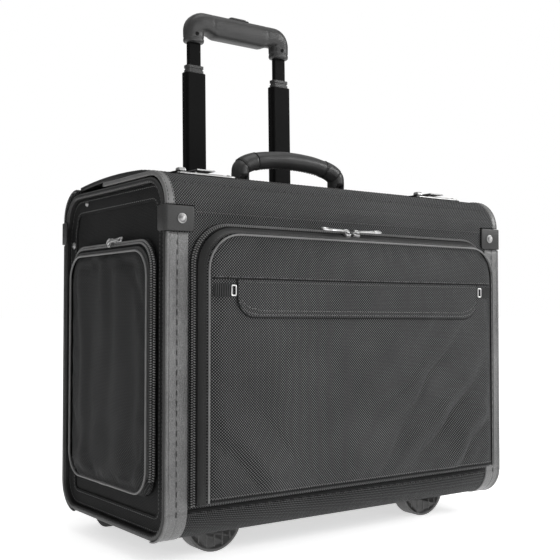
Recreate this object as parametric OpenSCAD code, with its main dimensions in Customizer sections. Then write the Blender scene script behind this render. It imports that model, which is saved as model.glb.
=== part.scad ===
// Pilot rolling flight case: a hard-sided, nylon-covered case with two fold-over lids, zipped
// pockets, a carry handle, a three-stage trolley and two rear wheels. Millimetres, +Z up, front
// towards -Y. The origin lies on the floor, at the centre of the whole object's plan.

/* [Case body] */
// Width over the bound rims of the two ends
case_w = 470; // [440:1:520]
// Depth over the front and rear panels
case_d = 242; // [236:1:260]
// Height of the underside above the case's own zero level, 4.5 mm off the floor
base_z = 21; // [18:1:24]
// Height of the bound rims' top above the same level
rim_top_z = 377; // [370:1:400]
// Thickness of the covered boards
board_t = 4; // [3:0.5:5]
// Outer radius of the fold along the bottom edges
fold_r = 31; // [28:1:34]
// How far the end boards lie inside the rims
end_recess = 7; // [6:0.5:8]
// Width of the bound rim, seen from the end
rim_w = 6; // [5:0.5:7]

/* [Lids] */
// Height of the front lid's hinge above the same level
hinge_z = 347; // [345:1:350]
// Outer radius of the front lid's fold
lid_fold_r = 35; // [33:1:36]
// Thickness of each lid
lid_t = 3.6; // [3:0.2:4]
// How far the front lid reaches behind the middle of the case
lid_reach = 20; // [10:1:30]
// Distance of the rear lid's hinge behind the middle of the case
rear_hinge_y = 89.7; // [88:0.1:90]
// Distance of the rear lid's free edge in front of the middle
rear_lid_reach = 66; // [62:1:67]

/* [Trolley] */
// Distance of each post from the middle of the case
post_x = 66.4; // [60:0.2:72]
// Rearward lean of the posts, in degrees
post_lean = 1.2; // [0:0.1:1.5]
// Height of the outer tubes' top, with the trolley pulled half out
outer_top_z = 546; // [500:1:560]
// Gap between the middle tubes' collars and the grip
inner_show = 30; // [29:1:60]

/* [Wheels and feet] */
// Wheel radius
wheel_r = 30; // [28:1:30]
// Wheel width
wheel_w = 20; // [16:1:20]
// Distance of each wheel from the middle of the case
wheel_x = 186; // [170:1:190]
// Radius of the disc that each front foot is cut from
foot_r = 34; // [30:1:36]
// Distance of each front foot from the middle of the case
foot_x = 150; // [140:1:160]

/* [Pockets] */
// How far the front pocket stands out from the front panel
pocket_t = 23; // [18:1:25]
// Width of the front pocket's face
pocket_w = 399; // [380:1:402]
// How far the side pockets stand out past the rims
side_pocket_proud = 4; // [2:0.5:6]

/* [Carry handle] */
// Distance of each handle end from the middle of the case
handle_x = 71.5; // [65:0.5:80]
// Height of the grip's middle above the rear lid
handle_rise = 36; // [34:1:40]
// Radius of the padded grip
handle_r = 11; // [9:0.5:12]

/* [Hidden] */
$fn = 64;

NYLON = [0.13, 0.13, 0.14];
VINYL = [0.22, 0.22, 0.23];
LEATHER = [0.33, 0.33, 0.34];
BOARD = [0.10, 0.10, 0.11];
PLASTIC = [0.17, 0.17, 0.18];
GREY_PLASTIC = [0.30, 0.30, 0.31];
ALU = [0.07, 0.07, 0.08];
CHROME = [0.80, 0.80, 0.82];
RUBBER = [0.09, 0.09, 0.09];

// The pocket flap and the wheels set the plan's front and rear limits, so the case's middle
// lies a little behind the origin.
flap_t = 2.2;
gap = 0.3;
wheel_y = 98;
foot_y = -65;
foot_t = 18;
front_limit = case_d / 2 + pocket_t + gap + flap_t;
rear_limit = wheel_y + wheel_r;
case_y = (front_limit - rear_limit) / 2;

// The case's own heights are measured from a level this far above the floor.
case_z = 4.5;
wheel_z = wheel_r - case_z;
foot_z = foot_r - case_z;

half_w = case_w / 2;
half_d = case_d / 2;
board_x = half_w - end_recess - board_t;
rim_in_x = board_x;
upper_inset = 4.5;
upper_half_d = half_d - upper_inset;
eps = 0.02;
cut = 60;

tab_h = 25;
tab_w = 31;
tab_wrap = 12;
tab_t = 2.5;
tab_z = hinge_z - 13;
strip_w = 25;
strip_t = 1.3;
strip_low_z = base_z + fold_r + 2;
rivet_r = 3.8;

lid_top_z = hinge_z + lid_fold_r + 0.5;
lid_half_w = half_w - 1;
bind_w = 6;
bind_proud = 0.8;
rear_lid_half_w = half_w - 6;
rear_lid_front_z = lid_top_z + gap + lid_t + 0.2;
rear_lid_crown = 4;
rear_lid_hinge_z = 384.6;
shoulder_r = 34;
shoulder_y = 90;
shoulder_z = 349;
shoulder_t = 4;

post_y = 108.4;
lean_z = 371;
outer_tube = [29, 14, 3.6];
outer_bore = [26.8, 11.8, 2.6];
middle_tube = [23.2, 10, 2.6];
middle_bore = [21.2, 8, 1.8];
inner_tube = [18.4, 6.8, 2];
inner_bore = [16.4, 4.8, 1.2];
slip = 0.3;
outer_len = 310;
middle_len = 297;
inner_len = 329;
socket = 16;
collar_h = 9;
housing_low_z = 36;
housing_top_z = 356;
collar_top_z = outer_top_z + 1 + collar_h;
elbow_z = collar_top_z + inner_show;
grip_mid_z = elbow_z + 26;
grip_half_x = post_x + 13.5;
grip_leg = [27, 19];
rod_r = 1.4;

lock_x = 167;
lock_w = 72;
lock_d = 20;
lock_h = 4;
lock_y = -78.5;
hasp_w = 22;

slider = [8, 11, 4];
pull = [36, 6, 1.2];
gusset_top_z = 331;
face_top_z = 319;
gusset_tilt = atan2(gusset_top_z - face_top_z, pocket_t);
side_tilt = atan2(17, end_recess + side_pocket_proud - 4);

module place() {
    translate([0, case_y, case_z]) children();
}

module mirror_x() {
    children();
    mirror([1, 0, 0]) children();
}

// Rounded rectangle from squares and circles, centred.
module rounded(w, d, r) {
    square([w - 2 * r, d], center = true);
    square([w, d - 2 * r], center = true);
    for (x = [-1, 1], y = [-1, 1])
        translate([x * (w / 2 - r), y * (d / 2 - r)]) circle(r);
}

// Rounded rectangle between two corners.
module rounded_span(x0, x1, y0, y1, r) {
    translate([(x0 + x1) / 2, (y0 + y1) / 2]) rounded(x1 - x0, y1 - y0, r);
}

// Extrudes a (Y, Z) outline along X, from x0 to x1.
module along_x(x0, x1) {
    translate([x0, 0, 0]) rotate([90, 0, 90]) linear_extrude(x1 - x0) children();
}

// Extrudes an (X, Z) outline along Y, from y0 to y1.
module along_y(y0, y1) {
    translate([0, y1, 0]) rotate([90, 0, 0]) linear_extrude(y1 - y0) children();
}

// Ring sector in the (Y, Z) plane, from angle a0 to a1, at most 90 degrees wide.
module arc_band(cy, cz, r_out, r_in, a0, a1) {
    reach = r_out * 1.6;
    translate([cy, cz]) intersection() {
        difference() {
            circle(r_out, $fn = 128);
            circle(r_in, $fn = 128);
        }
        polygon([[0, 0], reach * [cos(a0), sin(a0)],
                 reach * [cos((a0 + a1) / 2), sin((a0 + a1) / 2)], reach * [cos(a1), sin(a1)]]);
    }
}

/* ---- Case body ---- */

module front_board() {
    color(NYLON) place()
        translate([-board_x, -half_d, base_z + fold_r])
            cube([2 * board_x, board_t, hinge_z - base_z - fold_r - 1]);
}

module wheel_notches() {
    mirror_x() translate([wheel_x - 17, 61, base_z - 1]) cube([34, cut + 10, 47]);
}

module rear_board() {
    color(NYLON) place() difference() {
        translate([-board_x, half_d - board_t, base_z + fold_r])
            cube([2 * board_x, board_t, hinge_z - base_z - fold_r - 1]);
        wheel_notches();
    }
}

module bottom_board() {
    color(NYLON) place() difference() {
        along_x(-board_x, board_x) intersection() {
            difference() {
                rounded_span(-half_d, half_d, base_z, base_z + 4 * fold_r, fold_r);
                rounded_span(-half_d + board_t, half_d - board_t, base_z + board_t,
                             base_z + 5 * fold_r, fold_r - board_t);
            }
            translate([-half_d - 1, base_z - 1]) square([case_d + 2, fold_r + 1]);
        }
        wheel_notches();
        mirror_x() translate([foot_x - foot_r - 0.2, foot_y - foot_t / 2 - gap, base_z - 1])
            cube([2 * foot_r + 0.4, foot_t + 2 * gap, board_t + 2]);
    }
}

// End outline: full depth up to the hinges, narrower above them, inset all round by g.
module end_outline(g) {
    low_r = fold_r - g;
    top_r = 32 - g;
    rounded_span(-half_d + g, half_d - g, base_z + g, base_z + 3 * fold_r, low_r);
    translate([-half_d + g, base_z + fold_r])
        square([case_d - 2 * g, hinge_z - base_z - fold_r - 2]);
    rounded_span(-upper_half_d + g, upper_half_d - g, hinge_z - 80, rim_top_z - g, top_r);
}

module end_board() {
    along_x(board_x, board_x + board_t) end_outline(rim_w);
}

module left_end_board() {
    color(NYLON) place() mirror([1, 0, 0]) end_board();
}

module right_end_board() {
    color(NYLON) place() end_board();
}

module end_rim() {
    along_x(rim_in_x, half_w) difference() {
        end_outline(0);
        end_outline(rim_w);
    }
}

module left_end_rim() {
    color(VINYL) place() mirror([1, 0, 0]) end_rim();
}

module right_end_rim() {
    color(VINYL) place() end_rim();
}

module corner_strips() {
    strip_h = tab_z - tab_h / 2 - strip_low_z - 1;
    color(LEATHER) place() mirror_x() for (side = [-1, 1])
        translate([half_w - strip_w / 2, side * (half_d + strip_t / 2 + 0.05), strip_low_z + strip_h / 2])
            cube([strip_w, strip_t, strip_h], center = true);
}

module corner_tabs() {
    face = half_d + 0.1;
    color(LEATHER) place() mirror_x() for (side = [0, 1]) mirror([0, side, 0]) {
        translate([half_w - tab_w, face, tab_z - tab_h / 2]) cube([tab_w + tab_t + 0.1, tab_t, tab_h]);
        translate([half_w + 0.1, face - tab_wrap, tab_z - tab_h / 2])
            cube([tab_t, tab_wrap + eps, tab_h]);
    }
}

// A domed rivet head standing on the plane y = 0, facing -Y.
module rivet_head(r) {
    rotate([90, 0, 0]) rotate_extrude() intersection() {
        translate([0, -r * 0.9]) circle(r * 1.35);
        square([r, r]);
    }
}

module tab_rivets() {
    color(CHROME) place() mirror_x() for (side = [0, 1]) mirror([0, side, 0]) {
        translate([half_w - 17, -half_d - tab_t - 0.1, tab_z]) rivet_head(rivet_r);
        translate([board_x + board_t, -half_d + 26, tab_z - 2]) rotate([0, 0, 90]) rivet_head(2.6);
    }
}

module divider_panel() {
    color(BOARD) place() translate([-board_x + 1, 30, base_z + board_t]) cube([2 * board_x - 2, 3, 300]);
}

/* ---- Trolley ---- */

// The posts' own frame: children are drawn upright round the Z axis, at the posts' foot.
module post_frame() {
    translate([0, post_y, lean_z]) rotate([-post_lean, 0, 0]) translate([0, 0, -lean_z]) children();
}

module bar(size, z0, z1) {
    translate([0, 0, z0]) linear_extrude(z1 - z0) rounded(size[0], size[1], size[2]);
}

module tube(outside, inside, z0, z1) {
    difference() {
        bar(outside, z0, z1);
        bar(inside, z0 - 1, z1 + 1);
    }
}

module both_posts() {
    place() post_frame() mirror_x() translate([post_x, 0, 0]) children();
}

module bezel_body() {
    translate([-92, 96.4, 357]) cube([184, 24, 27.5]);
}

module rear_shoulder() {
    skirt_x = half_w - tab_w - 4;
    skirt_t = shoulder_y + shoulder_r - half_d - 0.1;
    top = shoulder_z + eps;
    tab_top = tab_z + tab_h / 2;
    color(NYLON) place() difference() {
        union() {
            along_x(-lid_half_w, lid_half_w) {
                arc_band(shoulder_y, shoulder_z, shoulder_r, shoulder_r - shoulder_t + 0.8, 0, 90);
                translate([half_d + 0.1, tab_top + 0.4]) square([skirt_t, top - tab_top - 0.4]);
            }
            translate([-skirt_x, half_d + 0.1, tab_top - tab_h])
                cube([2 * skirt_x, skirt_t, top - tab_top + tab_h - 1]);
        }
        bezel_slot();
    }
}

// Opening in the shoulder that the bezel fills.
module bezel_slot() {
    translate([-92.2, 96.2, 340]) cube([184.4, 24.4, 60]);
}

module trolley_bezel() {
    hole = [outer_tube[0] + 2 * slip, outer_tube[1] + 2 * slip, outer_tube[2]];
    color(PLASTIC) difference() {
        place() intersection() {
            bezel_body();
            along_x(-92, 92) rounded_span(80, 120.4, 300, 384.5, 9);
        }
        both_posts() bar(hole, 330, 400);
    }
}

module post_housing() {
    outside = [outer_tube[0] + 4, outer_tube[1] + 3, outer_tube[2] + 1];
    inside = [outer_tube[0] + 2 * slip, outer_tube[1] + 2 * slip, outer_tube[2]];
    tube(outside, inside, housing_low_z, housing_top_z);
}

module left_post_housing() {
    color(ALU) place() post_frame() translate([-post_x, 0, 0]) post_housing();
}

module right_post_housing() {
    color(ALU) place() post_frame() translate([post_x, 0, 0]) post_housing();
}

module housing_foot_plate() {
    color(GREY_PLASTIC) place() {
        translate([-90, 60, base_z + board_t]) cube([180, 30, 1.6]);
        mirror_x() translate([post_x - 14, 88.4, base_z + board_t + 1.6 - eps]) cube([28, 1.6, 34]);
    }
}

module outer_tubes() {
    color(ALU) both_posts() tube(outer_tube, outer_bore, outer_top_z - outer_len, outer_top_z);
}

module outer_tube_bushes() {
    inside = [middle_tube[0] + 2 * slip, middle_tube[1] + 2 * slip, middle_tube[2]];
    color(PLASTIC) both_posts() tube(outer_bore, inside, outer_top_z - 24, outer_top_z);
}

module middle_tubes() {
    color(ALU) both_posts() tube(middle_tube, middle_bore, collar_top_z - collar_h - middle_len,
                                 collar_top_z - collar_h);
}

module middle_collars() {
    outside = [middle_tube[0] + 1.2, middle_tube[1] + 1.2, middle_tube[2] + 0.4];
    inside = [inner_tube[0] + 2 * slip, inner_tube[1] + 2 * slip, inner_tube[2]];
    neck = collar_top_z - collar_h;
    color(PLASTIC) both_posts() difference() {
        union() {
            bar(outside, neck, neck + 3);
            bar([outside[0] - 1.6, outside[1] - 1.6, outside[2]], neck + 3 - eps, neck + 5.5);
            bar(outside, neck + 5.5 - eps, collar_top_z);
        }
        bar(inside, neck - 1, collar_top_z + 1);
    }
}

module inner_tubes() {
    color(ALU) both_posts() tube(inner_tube, inner_bore, elbow_z + socket - inner_len, elbow_z + socket);
}

// Grip profile: a bar between two rounded elbows, with a swell under the fingers.
module grip_outline() {
    translate([0, grip_mid_z + 1]) rounded(2 * grip_half_x, 26, 12.9);
    translate([0, grip_mid_z - 2]) rounded(96, 30, 14.9);
    for (side = [-1, 1])
        rounded_span(side * post_x - grip_leg[0] / 2, side * post_x + grip_leg[0] / 2,
                     elbow_z, grip_mid_z + 12, 4);
}

module trolley_grip() {
    color(GREY_PLASTIC) place() post_frame() difference() {
        intersection() {
            along_y(-13, 13) grip_outline();
            along_x(-cut * 2, cut * 2) union() {
                rounded_span(-13, 13, grip_mid_z - 17.2, grip_mid_z + 14.2, 12);
                rounded_span(-grip_leg[1] / 2, grip_leg[1] / 2, elbow_z - 10, grip_mid_z, 5);
            }
        }
        mirror_x() translate([post_x, 0, 0]) {
            bar([inner_tube[0] + 0.1, inner_tube[1] + 0.1, inner_tube[2]],
                elbow_z - 1, elbow_z + socket + 0.1);
            bar([6, 6, 1], elbow_z + socket - 2, grip_mid_z + 4);
        }
        translate([-post_x - 4, -3.5, grip_mid_z - 8]) cube([2 * post_x + 8, 7, 12]);
        bar([25, 10, 3], grip_mid_z - 4, grip_mid_z + 20);
    }
}

module grip_screws() {
    color(CHROME) place() post_frame() mirror_x()
        translate([post_x, -grip_leg[1] / 2, elbow_z + 10]) rotate([90, 0, 0]) cylinder(h = 0.8, r = 2.2);
}

module release_button() {
    color(PLASTIC) place() post_frame() {
        bar([24.2, 9.2, 2.8], grip_mid_z + 1, grip_mid_z + 16.5);
    }
}

module release_rods() {
    color(CHROME) place() post_frame() {
        translate([-post_x - 2, -2, grip_mid_z - 2.5]) cube([2 * post_x + 4, 4, 3.5]);
        mirror_x() translate([post_x, 0, elbow_z - 290]) cylinder(h = 290 + 25, r = rod_r);
    }
}

/* ---- Wheels and feet ---- */

// Each foot hangs through a slot in the bottom board from a flange that is screwed down inside.
module front_feet() {
    flange = [82, 30, 2];
    color(PLASTIC) place() mirror_x() {
        intersection() {
            translate([foot_x, foot_y + foot_t / 2, foot_z]) rotate([90, 0, 0])
                cylinder(h = foot_t, r = foot_r, $fn = 128);
            translate([foot_x - cut, -cut * 2, -cut + base_z + board_t + eps])
                cube([2 * cut, 2 * cut, cut]);
        }
        translate([foot_x - flange[0] / 2, foot_y - flange[1] / 2, base_z + board_t]) cube(flange);
    }
}

module foot_screws() {
    color(CHROME) place() mirror_x() for (dx = [-37, 37])
        translate([foot_x + dx, foot_y, base_z + board_t + 2]) cylinder(h = 1.6, r = 3.4);
}

module wheel_cups() {
    color(PLASTIC) place() mirror_x() difference() {
        translate([wheel_x - 16.7, 61.3, base_z]) cube([33.4, 61, 45.7]);
        translate([wheel_x - wheel_w / 2 - 1.5, wheel_y, wheel_z]) rotate([0, 90, 0])
            cylinder(h = wheel_w + 3, r = wheel_r + 3);
        translate([wheel_x - wheel_w / 2 - 1.5, wheel_y - 33, -case_z])
            cube([wheel_w + 3, 80, wheel_r]);
        translate([wheel_x - wheel_w / 2 - 1.5, wheel_y, -case_z])
            cube([wheel_w + 3, 60, wheel_r + 33]);
        translate([wheel_x - 20, wheel_y, wheel_z]) rotate([0, 90, 0]) cylinder(h = 40, r = 4.05);
    }
}

module wheel_axles() {
    color(CHROME) place() mirror_x()
        translate([wheel_x - 16.7, wheel_y, wheel_z]) rotate([0, 90, 0]) cylinder(h = 33.4, r = 4);
}

module wheel_hub() {
    translate([wheel_x, wheel_y, wheel_z]) rotate([0, 90, 0]) rotate_extrude() difference() {
        translate([4.05, -wheel_w / 2]) square([18, wheel_w]);
        translate([10, wheel_w / 2 - 4]) square([9, 5]);
        translate([10, -wheel_w / 2 - 1]) square([9, 5]);
    }
}

module wheel_tyre() {
    translate([wheel_x, wheel_y, wheel_z]) rotate([0, 90, 0]) rotate_extrude($fn = 128)
        intersection() {
            translate([wheel_r - 20, 0]) rounded(40, wheel_w, 5);
            translate([22.05, -wheel_w]) square([20, 2 * wheel_w]);
        }
}

module left_wheel_hub() {
    color(PLASTIC) place() mirror([1, 0, 0]) wheel_hub();
}

module left_wheel_tyre() {
    color(RUBBER) place() mirror([1, 0, 0]) wheel_tyre();
}

module right_wheel_hub() {
    color(PLASTIC) place() wheel_hub();
}

module right_wheel_tyre() {
    color(RUBBER) place() wheel_tyre();
}

/* ---- Pockets ---- */

// Outline with round upper corners and a straight foot, where the cloth runs into the foot seam.
module arched_span(x0, x1, y0, y1, r) {
    hull() {
        rounded_span(x0, x1, y1 - 3 * r, y1, r);
        rounded_span(x0, x1, y0, y0 + 3 * r, 3);
    }
}

module front_pocket() {
    back = half_d + 0.2;
    color(NYLON) place() hull() {
        along_y(-back - 2, -back) arched_span(-207, 207, 54, gusset_top_z, 40, $fn = 32);
        along_y(-half_d - pocket_t, -half_d - pocket_t + 2)
            arched_span(-pocket_w / 2, pocket_w / 2, 59, face_top_z, 36, $fn = 32);
    }
}

module pocket_flap() {
    face = half_d + pocket_t + gap;
    color(NYLON) place() along_y(-face - flap_t, -face) rounded_span(-169, 169, 236.5, 275, 19);
}

module web_loops() {
    face = half_d + pocket_t + gap;
    color(CHROME) place() mirror_x() translate([174, -face - 0.8, 265]) difference() {
        cube([8, 1.6, 12], center = true);
        cube([4, 3, 8], center = true);
    }
}

module side_pocket() {
    hull() {
        along_x(half_w - end_recess + 0.2, half_w - end_recess + 2)
            rounded_span(-97, 97, 58, 322, 26, $fn = 32);
        along_x(half_w + side_pocket_proud - 2, half_w + side_pocket_proud)
            rounded_span(-91, 91, 64, 305, 26, $fn = 32);
    }
}

module left_side_pocket() {
    color(NYLON) place() mirror([1, 0, 0]) side_pocket();
}

module right_side_pocket() {
    color(NYLON) place() side_pocket();
}

/* ---- Zip sliders and pulls ---- */

// Frame on the front pocket's sloping top gusset, at x: local X runs along the zip, local Z
// points away from the tape.
module front_tape(x) {
    place() translate([x, -half_d - pocket_t / 2, (gusset_top_z + face_top_z) / 2 + 1.2])
        rotate([gusset_tilt, 0, 0]) children();
}

// The same on a side pocket's top gusset, with local X along Y.
module side_tape(y) {
    place() translate([half_w - 1, y, 315.5]) rotate([0, side_tilt, 0]) rotate([0, 0, -90]) children();
}

module zip_slider() {
    translate([-slider[0] / 2, -slider[1] / 2, 0.3]) cube(slider);
}

// The pull lies flat over its slider and points along +X from its pivot.
module zip_pull() {
    translate([-pull[2] / 2, -pull[1] / 2, slider[2] + 1]) cube(pull);
}

module front_left_zip_slider() {
    color(CHROME) front_tape(-20) zip_slider();
}

module front_right_zip_slider() {
    color(CHROME) front_tape(-8) zip_slider();
}

module left_zip_slider() {
    color(CHROME) mirror([1, 0, 0]) side_tape(-4) zip_slider();
}

module right_zip_slider() {
    color(CHROME) side_tape(-4) zip_slider();
}

module front_left_zip_pull() {
    color(CHROME) front_tape(-20) mirror([1, 0, 0]) zip_pull();
}

module front_right_zip_pull() {
    color(CHROME) front_tape(-8) zip_pull();
}

module left_zip_pull() {
    color(CHROME) mirror([1, 0, 0]) side_tape(-4) zip_pull();
}

module right_zip_pull() {
    color(CHROME) side_tape(-4) zip_pull();
}

/* ---- Front lid ---- */

// Lid profile: a quarter fold up from the hinge, then a flat top running back.
module front_lid_profile() {
    low = hinge_z - 2 * cut;
    intersection() {
        difference() {
            rounded_span(-half_d, half_d, low, lid_top_z, lid_fold_r);
            rounded_span(-half_d + lid_t, half_d + cut, low - 1, lid_top_z - lid_t, lid_fold_r - lid_t);
        }
        translate([-half_d - 1, hinge_z + 0.5]) square([half_d + 1 + lid_reach, cut]);
    }
}

module front_lid_board() {
    color(NYLON) place() along_x(-lid_half_w + bind_w, lid_half_w - bind_w) front_lid_profile();
}

module front_lid_binding() {
    color(VINYL) place() mirror_x()
        along_x(lid_half_w - bind_w, lid_half_w) front_lid_profile();
}

module lock_cases() {
    color(CHROME) place() mirror_x() translate([lock_x, lock_y, lid_top_z]) difference() {
        linear_extrude(lock_h) rounded(lock_w, lock_d, 3);
        translate([-lock_w / 2 + 4, -3, lock_h - 1.5]) cube([17, 6, 3]);
        translate([lock_w / 2 - 21, -3, lock_h - 1.5]) cube([17, 6, 3]);
    }
}

module lock_slide(x) {
    place() translate([x, lock_y, lid_top_z + lock_h - 1.3]) {
        translate([-3, -2.6, 0]) cube([6, 5.2, 2]);
        translate([-4.5, -4, 1.6]) cube([9, 8, 4.2]);
    }
}

module left_lock_slide() {
    color(CHROME) lock_slide(-lock_x - lock_w / 2 + 9);
}

module right_lock_slide() {
    color(CHROME) lock_slide(lock_x - lock_w / 2 + 9);
}

/* ---- Rear lid ---- */

// Height of the rear lid's outer face: a shallow arch from the hinge to the free edge.
function rear_lid_z(y) =
    let (u = (rear_hinge_y - y) / (rear_hinge_y + rear_lid_reach))
    rear_lid_hinge_z + (rear_lid_front_z - rear_lid_hinge_z) * u + rear_lid_crown * 4 * u * (1 - u) * 0.9;

module rear_lid_profile(y0, y1, t) {
    steps = 14;
    ys = [for (i = [0:steps]) y0 + (y1 - y0) * i / steps];
    polygon(concat([for (y = ys) [y, rear_lid_z(y)]],
                   [for (i = [steps:-1:0]) [ys[i], rear_lid_z(ys[i]) - t]]));
}

module rear_lid_board() {
    color(NYLON) place() along_x(-rear_lid_half_w + bind_w, rear_lid_half_w - bind_w)
        rear_lid_profile(-rear_lid_reach + 4, rear_hinge_y, lid_t);
}

module rear_lid_binding() {
    color(VINYL) place() {
        mirror_x() along_x(rear_lid_half_w - bind_w, rear_lid_half_w)
            rear_lid_profile(-rear_lid_reach, rear_hinge_y, lid_t);
        along_x(-rear_lid_half_w + bind_w, rear_lid_half_w - bind_w)
            rear_lid_profile(-rear_lid_reach, -rear_lid_reach + 4, lid_t);
    }
}

hasp_y = -rear_lid_reach + 8;
hasp_plate_z = rear_lid_z(hasp_y + 14) + 0.05;
hasp_z = hasp_plate_z + 1.2;

module hasp_hinges() {
    color(CHROME) place() mirror_x() translate([lock_x, 0, 0]) difference() {
        union() {
            translate([-hasp_w / 2, hasp_y + 2, hasp_plate_z]) cube([hasp_w, 12, 1.8]);
            translate([-hasp_w / 2, hasp_y, hasp_z]) rotate([0, 90, 0]) cylinder(h = 5, r = 1.7);
            translate([hasp_w / 2 - 5, hasp_y, hasp_z]) rotate([0, 90, 0]) cylinder(h = 5, r = 1.7);
            translate([-hasp_w / 2, hasp_y, hasp_z - 0.6]) cube([5, 3, 1]);
            translate([hasp_w / 2 - 5, hasp_y, hasp_z - 0.6]) cube([5, 3, 1]);
        }
        translate([-cut / 2, hasp_y, hasp_z]) rotate([0, 90, 0]) cylinder(h = cut, r = 0.85);
    }
}

module hasp(x) {
    tip = lock_y - 6;
    place() translate([x, 0, 0]) {
        translate([-hasp_w / 2, tip, hasp_z - 0.2]) cube([hasp_w, hasp_y - tip - 2.2, 1.3]);
        translate([-hasp_w / 2 + 5.3, hasp_y - 3, hasp_z - 0.2]) cube([hasp_w - 10.6, 3, 1.3]);
        translate([-hasp_w / 2 + 5.3, hasp_y, hasp_z]) rotate([0, 90, 0])
            cylinder(h = hasp_w - 10.6, r = 1.7);
        translate([-hasp_w / 2 + 0.2, hasp_y, hasp_z]) rotate([0, 90, 0])
            cylinder(h = hasp_w - 0.4, r = 0.8);
    }
}

module left_hasp() {
    color(CHROME) hasp(-lock_x);
}

module right_hasp() {
    color(CHROME) hasp(lock_x);
}

/* ---- Carry handle ---- */

handle_y = -3;
lid_at_handle = rear_lid_z(handle_y);
handle_axis_z = lid_at_handle + 7;
grip_z = lid_at_handle + handle_rise;
loop_r = 2;
loop_x = 7.5;
elbow_r = 20;

module handle_mounts() {
    color(CHROME) place() mirror_x() translate([handle_x, handle_y, 0]) difference() {
        union() {
            translate([-15, -10, lid_at_handle + 0.05]) cube([30, 20, 1.6]);
            translate([-4, -3.6, lid_at_handle + 1]) cube([8, 7.2, handle_axis_z - lid_at_handle - 1]);
            translate([-4, 0, handle_axis_z]) rotate([0, 90, 0]) cylinder(h = 8, r = 3.6);
        }
        translate([-20, 0, handle_axis_z]) rotate([0, 90, 0]) cylinder(h = 40, r = loop_r + 0.05);
    }
}

module handle_loops() {
    color(CHROME) place() mirror_x() translate([handle_x, handle_y, handle_axis_z]) {
        translate([-loop_x, 0, 0]) rotate([0, 90, 0]) cylinder(h = 2 * loop_x, r = loop_r);
        for (x = [-loop_x, loop_x]) {
            translate([x, 0, 0]) sphere(loop_r);
            translate([x, 0, 0]) cylinder(h = 15, r = loop_r);
        }
    }
}

// One end of the padded grip: a tongue that narrows towards the mount and straddles its knuckle.
module handle_end() {
    tongue_r = 4.9;
    shoulder = 8.6;
    difference() {
        intersection() {
            union() {
                rotate([0, 90, 0]) translate([0, 0, -handle_r]) cylinder(h = 2 * handle_r, r = tongue_r);
                rotate([90, 0, 90]) translate([0, 0, -handle_r]) linear_extrude(2 * handle_r)
                    polygon([[-tongue_r, 0], [tongue_r, 0], [handle_r, shoulder], [handle_r, shoulder + 2],
                             [-handle_r, shoulder + 2], [-handle_r, shoulder]]);
            }
            translate([0, 0, -handle_r]) cylinder(h = handle_r + shoulder + 1, r = handle_r - 0.2);
        }
        translate([-4.6, -cut / 2, -10]) cube([9.2, cut, 14.6]);
    }
    translate([0, 0, shoulder]) cylinder(h = grip_z - elbow_r - handle_axis_z - shoulder + eps, r = handle_r);
}

module handle_grip() {
    color(LEATHER) place() difference() {
        translate([0, handle_y, 0]) {
            translate([-handle_x + elbow_r, 0, grip_z]) rotate([0, 90, 0])
                cylinder(h = 2 * (handle_x - elbow_r), r = handle_r);
            mirror_x() {
                translate([handle_x - elbow_r, 0, grip_z - elbow_r])
                    rotate([90, 0, 0]) rotate_extrude(angle = 90) translate([elbow_r, 0]) circle(handle_r);
                translate([handle_x, 0, handle_axis_z]) handle_end();
            }
        }
        mirror_x() translate([handle_x, handle_y, handle_axis_z]) {
            for (x = [-loop_x, loop_x]) {
                translate([x, 0, 0]) cylinder(h = 16, r = loop_r + 0.05);
                translate([x, 0, 0]) sphere(loop_r + 0.05);
            }
            rotate([0, 90, 0]) translate([0, 0, -loop_x]) cylinder(h = 2 * loop_x, r = loop_r + 0.05);
        }
    }
}

front_board();
bottom_board();
rear_board();
left_end_board();
right_end_board();
left_end_rim();
right_end_rim();
corner_strips();
corner_tabs();
tab_rivets();
rear_shoulder();
trolley_bezel();
left_post_housing();
right_post_housing();
housing_foot_plate();
front_feet();
foot_screws();
wheel_cups();
wheel_axles();
divider_panel();
front_pocket();
pocket_flap();
web_loops();
left_side_pocket();
right_side_pocket();
front_lid_board();
front_lid_binding();
lock_cases();
rear_lid_board();
rear_lid_binding();
hasp_hinges();
handle_mounts();
left_hasp();
right_hasp();
left_lock_slide();
right_lock_slide();
handle_grip();
handle_loops();
left_wheel_hub();
left_wheel_tyre();
right_wheel_hub();
right_wheel_tyre();
outer_tubes();
outer_tube_bushes();
middle_tubes();
middle_collars();
inner_tubes();
trolley_grip();
grip_screws();
release_button();
release_rods();
front_left_zip_slider();
front_right_zip_slider();
left_zip_slider();
right_zip_slider();
front_left_zip_pull();
front_right_zip_pull();
left_zip_pull();
right_zip_pull();
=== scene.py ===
"""Looks of the pilot rolling flight case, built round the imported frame. Metres, +Z up."""
from math import acos, atan2, copysign, cos, exp, hypot, pi, radians, sin, sqrt

import bmesh
import bpy
from mathutils import Matrix, Vector, noise
from mathutils.bvhtree import BVHTree


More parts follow.
